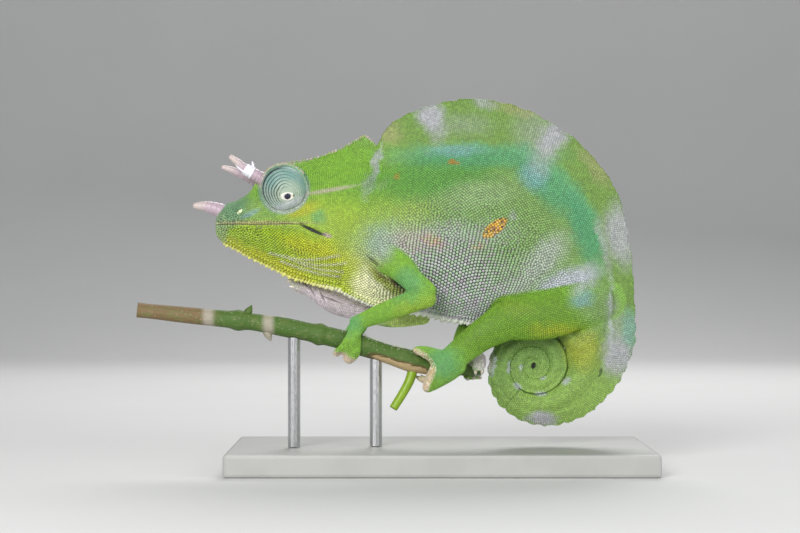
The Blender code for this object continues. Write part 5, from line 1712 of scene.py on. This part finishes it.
def brow_places(tree, draw):
    """Beads along the casque's keel, the brows and the top of each orbit."""
    studs = [((x, 0.0, z - 0.1), (-0.4, 0.0, 1.0), 0.52 * draw.uniform(0.8, 1.25))
             for x, z in spline([row[:2] for row in HEAD[4:]], 46)]
    for side in (-1, 1):
        ridge = [side_point(tree, x, z, side) for x, z in spline(BROW, 30)]
        studs += [(*place, 0.48 * draw.uniform(0.8, 1.25)) for place in ridge]
        for turn in np.radians(np.arange(38.0, 152.0, 4.6)):
            hub = Vector((math.cos(turn), 0.0, math.sin(turn)))
            spot = Vector((EYE_CENTRE[0], side * (ORBIT_PLACE - 0.9), EYE_CENTRE[2]))
            spot += hub * (ORBIT_RADIUS + ORBIT_THICKNESS - 0.05)
            studs.append((spot, hub - Vector((0.0, side * 0.3, 0.0)), 0.6 * draw.uniform(0.8, 1.25)))
    return studs


def lip_places(tree, draw):
    """Beads along both lips, on the sides and round the snout's front."""
    lifts = (0.52, -0.52)
    found = [side_point(tree, x, z + lift, side) for side in (-1, 1) for lift in lifts
             for x, z in spline(MOUTH[:5], 38)]
    found += [nearest(tree, (HEAD[0][0], y, MOUTH[0][1] + lift)) for lift in lifts
              for y in np.arange(-3.0, 3.1, 0.75)]
    return [(*place, 0.5 * draw.uniform(0.92, 1.1)) for place in found]


def nostril_places(tree):
    """Beads in a short slanting row round each nostril."""
    x, z = NOSTRIL
    return [(*side_point(tree, x + shift * 0.8, z + shift * 0.75, side), 0.72 - 0.25 * abs(shift))
            for side in (-1, 1) for shift in (-0.75, -0.4, 0.0, 0.4, 0.75)]


def stud_materials():
    """Finishes of spines, sole, brow and nostrils, with the nostril's opening painted dark as shade."""
    spine = Finish("spine_finish", (0.72, 0.7, 0.1), 0.45)
    spine.lay(spine.ramp(spine.x(), -52.0, -22.0), (0.84, 0.86, 0.8))
    spine.lay(spine.clouds(2.0, 0.3, 0.7, 0.4), (0.8, 0.8, 0.6))
    sole = Finish("sole_finish", (0.58, 0.42, 0.34), 0.5)
    sole.lay(sole.ramp(sole.attribute("tint"), 0.3, 0.7), (0.8, 0.72, 0.56))
    sole.lay(sole.clouds(0.8, 0.5, 0.65, 0.7), (0.66, 0.44, 0.12))
    brow = Finish("brow_finish", (0.24, 0.38, 0.1), 0.5)
    brow.lay(brow.ramp(brow.attribute("tint"), 0.35, 0.65), (0.44, 0.42, 0.34))
    brow.lay(brow.clouds(0.5, 0.45, 0.6, 0.5), (0.46, 0.33, 0.28))
    nostril = Finish("nostril_finish", (0.03, 0.03, 0.02), 0.4)
    # Painted shade: the nostril's opening is near black, the beads round it pale.
    inside = nostril.side_distance(NOSTRIL[0] - 0.35, NOSTRIL[1] - 0.45)
    nostril.lay(nostril.ramp(inside, 0.1, 0.34), (0.78, 0.84, 0.52))
    return [finish.done() for finish in (spine, sole, brow, nostril)]


class CHAM_OT_studs(Operator):
    """Sets the spines of throat and belly, the beads of brow, casque and lips"""
    bl_idname = "chameleon.studs"
    bl_label = "Spines and beads"

    def execute(self, context):
        tree = skin_tree(bpy.data.objects["skin"])
        draw = random.Random(11)
        pale, sole, brow, nostril = stud_materials()
        scale = bpy.data.materials["scale_finish"]
        spine = spine_shape("spine_shape", 9, 0.05)
        bead = dome("bead_shape", 8, 0.85, 0.6)
        spines, granules = keel_places(tree, draw)
        add_studs("keel_spines", spines, spine, pale, "skin_head")
        add_studs("keel_granules", granules, spine, scale, "skin_head")
        add_studs("sole_beads", sole_places(tree, draw), bead, sole, "skin_limb")
        add_studs("brow_beads", brow_places(tree, draw), bead, brow, "skin_head")
        add_studs("lip_beads", lip_places(tree, draw), bead, scale, "skin_head")
        add_studs("nostril_rims", nostril_places(tree), bead, nostril, "skin_head")
        bpy.data.batch_remove((spine, bead))
        return {"FINISHED"}


def bark_material():
    """Green bark that dries to tan, with pale nodes and a strip worn bare on the underside."""
    colours = bpy.context.scene.chameleon_colours
    bark = Finish("bark_finish", colours.dry_bark, 0.62)
    x = bark.x()
    rough = bark.noise(bark.place, 0.35, 4.0)
    lines = bark.noise(bark.vector("MULTIPLY", bark.place, (0.25, 1.6, 1.6)), 1.2, 4.0)
    bark.lay(bark.ramp(bark.math("MULTIPLY_ADD", rough, 14.0, x), -80.0, -70.0), colours.bark)
    bark.lay(bark.ramp(lines, 0.42, 0.7, 0.0, 0.6), (0.1, 0.14, 0.03))
    bark.lay(bark.ramp(rough, 0.5, 0.72, 0.0, 0.5), (0.15, 0.19, 0.05))
    specks = bark.ramp(bark.cells(bark.place, 0.75), 0.1, 0.2, 1.0, 0.0)
    bark.lay(bark.times(specks, 0.6), (0.34, 0.33, 0.22))
    for spot in BRANCH_NODES:
        near = bark.math("ABSOLUTE", bark.math("SUBTRACT", x, spot))
        bark.lay(bark.ramp(near, 0.6, 3.0, 0.75, 0.0), (0.44, 0.38, 0.32))
    bare = bark.math("MULTIPLY_ADD", bark.math("SUBTRACT", lines, 0.5), 0.5, bark.attribute("under"))
    bark.lay(bark.ramp(bare, 0.35, 0.5, 0.0, 0.95), (0.52, 0.38, 0.2))
    edge = bark.times(bark.ramp(bare, 0.22, 0.33), bark.ramp(bare, 0.42, 0.52, 1.0, 0.0))
    bark.lay(bark.times(edge, 0.8), (0.1, 0.06, 0.02))
    return bark.done(bark.math("ADD", lines, bark.times(rough, 0.6)), 0.8, 0.0004)


def strip_share(points):
    """How far points on the twig lie in the strip that is worn bare, between the two left feet."""
    away = np.empty(len(points))
    for i, point in enumerate(points):
        centre, _, run = branch_at(point[0])
        away[i] = square_to(Vector(point) - centre, run).dot(Vector(BARE_WAY))
    length = smooth_step(points[:, 0], -31.0, -20.0) * (1.0 - smooth_step(points[:, 0], -6.0, -2.0))
    return np.clip(away * 1.2 - 0.45, 0.0, 1.0) * length


def twig_parts(draw):
    """The twig with its swellings, and its buds."""
    waves = [(draw.uniform(0.05, 0.5), draw.uniform(0, 6)) for _ in range(8)]
    span = BRANCH[-1][0] - BRANCH[0][0]

    def swell(share):
        x = BRANCH[0][0] + span * share
        node = sum(0.75 * math.exp(-((x - spot) / 1.7) ** 2) for spot in BRANCH_NODES)
        return node + sum(0.05 * math.sin(x * pitch + phase) for pitch, phase in waves)

    parts = [tube("twig", BRANCH, 260, 40, ripple=swell)]
    for x, z in BRANCH_BUDS:
        centre, radius, run = branch_at(x)
        way = (Vector((x, centre.y, z)) - centre).normalized()
        root = centre + way * (radius - 0.6)
        lean = (way - run * 0.5).normalized()
        keys = [(*(root + lean * step), size) for step, size in BUD_KEYS]
        parts.append(tube("bud", keys, 14, 16, rounded=True))
    return parts


def hair_places(draw):
    """Fine hairs along the top of the twig, most of them under the animal."""
    hairs = []
    for _ in range(HAIRS):
        x = draw.uniform(-30.0, 8.0) if draw.random() < 0.8 else draw.uniform(-78.0, -34.0)
        centre, radius, run = branch_at(x)
        up = square_to(Vector((0.0, draw.gauss(0.0, 0.7), 1.0)).normalized(), run)
        lie = (up + Vector((draw.uniform(-0.5, 0.5), draw.uniform(-0.3, 0.3), 0.0))).normalized()
        hairs.append((centre + up * (radius - 0.1), lie, 1.0))
    return hairs


class CHAM_OT_perch(Operator):
    """Makes the cut twig with its nodes and buds, and the stub of its side shoot"""
    bl_idname = "chameleon.perch"
    bl_label = "Perch"

    def execute(self, context):
        draw = random.Random(5)
        twig = join("twig", twig_parts(draw))
        store(twig.data, "under", strip_share(co_array(twig.data) / MM))
        settle(twig, bark_material(), "bark", "perch_branch")
        thin = tube("hair_shape", HAIR_KEYS, 4, 4)
        thin.hide_render = True
        hair = Finish("hair_finish", (0.62, 0.66, 0.5), 0.5).done()
        add_studs("twig_hairs", hair_places(draw), thin, hair, "bark")
        bpy.data.objects.remove(thin)
        green = Finish("shoot_finish", context.scene.chameleon_colours.shoot, 0.4)
        lines = green.noise(green.vector("MULTIPLY", green.place, (1.0, 1.0, 0.2)), 1.4, 3.0)
        green.lay(green.ramp(lines, 0.35, 0.7, 0.0, 0.6), (0.16, 0.3, 0.01))
        settle(tube("side_shoot", SHOOT, 40, 24), green.done(lines, 0.3), "shoot", "perch_shoot")
        return {"FINISHED"}


class CHAM_OT_stand(Operator):
    """Finishes the display stand's base and rods"""
    bl_idname = "chameleon.stand"
    bl_label = "Stand"

    def execute(self, context):
        base = Finish("stand_finish", context.scene.chameleon_colours.stand)
        grain = base.noise(base.place, 3.0, 3.0)
        base.lay(base.clouds(0.08, 0.35, 0.65, 0.4, 4.0), (0.36, 0.36, 0.35))
        base.put(base.shader["Roughness"], base.ramp(grain, 0.3, 0.7, 0.38, 0.55))
        rod = Finish("rod_finish", (0.5, 0.5, 0.51))
        rod.shader["Metallic"].default_value = 1.0
        brushed = rod.noise(rod.vector("MULTIPLY", rod.place, (6.0, 6.0, 0.3)), 1.5, 3.0)
        rod.lay(rod.ramp(brushed, 0.3, 0.7), (0.62, 0.62, 0.63))
        rod.put(rod.shader["Roughness"], rod.ramp(brushed, 0.3, 0.7, 0.24, 0.4))
        steel = rod.done()
        finishes = {"stand_base": base.done(grain, 0.12), "stand_rod_1": steel, "stand_rod_2": steel}
        for name, material in finishes.items():
            item = frame["nodes"][name]
            item.data.materials.clear()
            item.data.materials.append(material)
        return {"FINISHED"}


def add_light(name, spot, size, power):
    """A round soft light that looks at the animal."""
    data = bpy.data.lights.new(name, "AREA")
    data.shape = "DISK"
    data.size = size
    data.energy = power
    lamp = new_object(name, data)
    lamp.location = spot
    lamp.rotation_euler = (LIGHT_AIM - Vector(spot)).to_track_quat("-Z", "Y").to_euler()


def add_floor():
    """The pale floor, which curves up into the backdrop."""
    bend = [(0.9 + 0.5 * math.sin(turn), 0.5 - 0.5 * math.cos(turn)) for turn in np.linspace(0, 1.57, 16)]
    rows = [(-0.9, 0.0), *bend, (1.4, 2.2)]
    points = [(x, y, z - FLOOR_GAP) for y, z in rows for x in (-2.4, 2.4)]
    mesh = bpy.data.meshes.new("floor")
    mesh.from_pydata(points, [], [(2 * i, 2 * i + 1, 2 * i + 3, 2 * i + 2) for i in range(len(rows) - 1)])
    mesh.shade_smooth()
    pale = Finish("floor_finish", (0.66, 0.66, 0.65), 0.8)
    pale.lay(pale.noise(pale.place, 0.01), (0.7, 0.7, 0.69))
    mesh.materials.append(pale.done())
    new_object("floor", mesh)


class CHAM_OT_stage(Operator):
    """Sets up floor, backdrop, lights and camera"""
    bl_idname = "chameleon.stage"
    bl_label = "Stage"

    def execute(self, context):
        scene = context.scene
        stage = scene.chameleon_stage
        add_floor()
        for name, (spot, size, share) in LIGHTS.items():
            add_light(name, spot, size, stage.light * share)
        world = bpy.data.worlds.new("studio")
        world.use_nodes = True
        sky = world.node_tree.nodes["Background"].inputs
        sky[0].default_value = (0.9, 0.92, 0.95, 1.0)
        sky[1].default_value = 0.3
        scene.world = world
        scene.view_settings.view_transform = "Standard"
        data = bpy.data.cameras.new("camera")
        data.lens = stage.lens
        data.sensor_width = 36.0
        camera = new_object("camera", data)
        camera.location = (CAMERA[0], -stage.distance, CAMERA[1])
        camera.rotation_euler = (math.pi / 2, 0.0, 0.0)
        scene.camera = camera
        return {"FINISHED"}


OPERATORS = (CHAM_OT_skin, CHAM_OT_scales, CHAM_OT_horns, CHAM_OT_eyes, CHAM_OT_claws, CHAM_OT_studs,
             CHAM_OT_perch, CHAM_OT_stand, CHAM_OT_stage)
GROUPS = {"chameleon_skin": CHAM_PG_skin, "chameleon_coat": CHAM_PG_coat,
          "chameleon_colours": CHAM_PG_colours, "chameleon_stage": CHAM_PG_stage}


class CHAM_PT_panel(Panel):
    """Lists the model's steps and sizes"""
    bl_idname = "CHAM_PT_panel"
    bl_label = "Chameleon"
    bl_space_type = "VIEW_3D"
    bl_region_type = "UI"
    bl_category = "Chameleon"

    def draw(self, context):
        for name, group in GROUPS.items():
            box = self.layout.box()
            for key in group.__annotations__:
                box.prop(getattr(context.scene, name), key)
        for operator in OPERATORS:
            self.layout.operator(operator.bl_idname)


CLASSES = (*GROUPS.values(), *OPERATORS, CHAM_PT_panel)


def register():
    """Adds the classes and the settings on the scene."""
    for item in CLASSES:
        bpy.utils.register_class(item)
    for name, group in GROUPS.items():
        setattr(bpy.types.Scene, name, PointerProperty(type=group))


def unregister():
    """Takes the classes and the settings away again."""
    for name in GROUPS:
        delattr(bpy.types.Scene, name)
    for item in reversed(CLASSES):
        bpy.utils.unregister_class(item)


def main():
    """Builds every piece in order."""
    register()
    for operator in OPERATORS:
        group, name = operator.bl_idname.split(".")
        getattr(getattr(bpy.ops, group), name)()


if __name__ == "__main__":
    main()
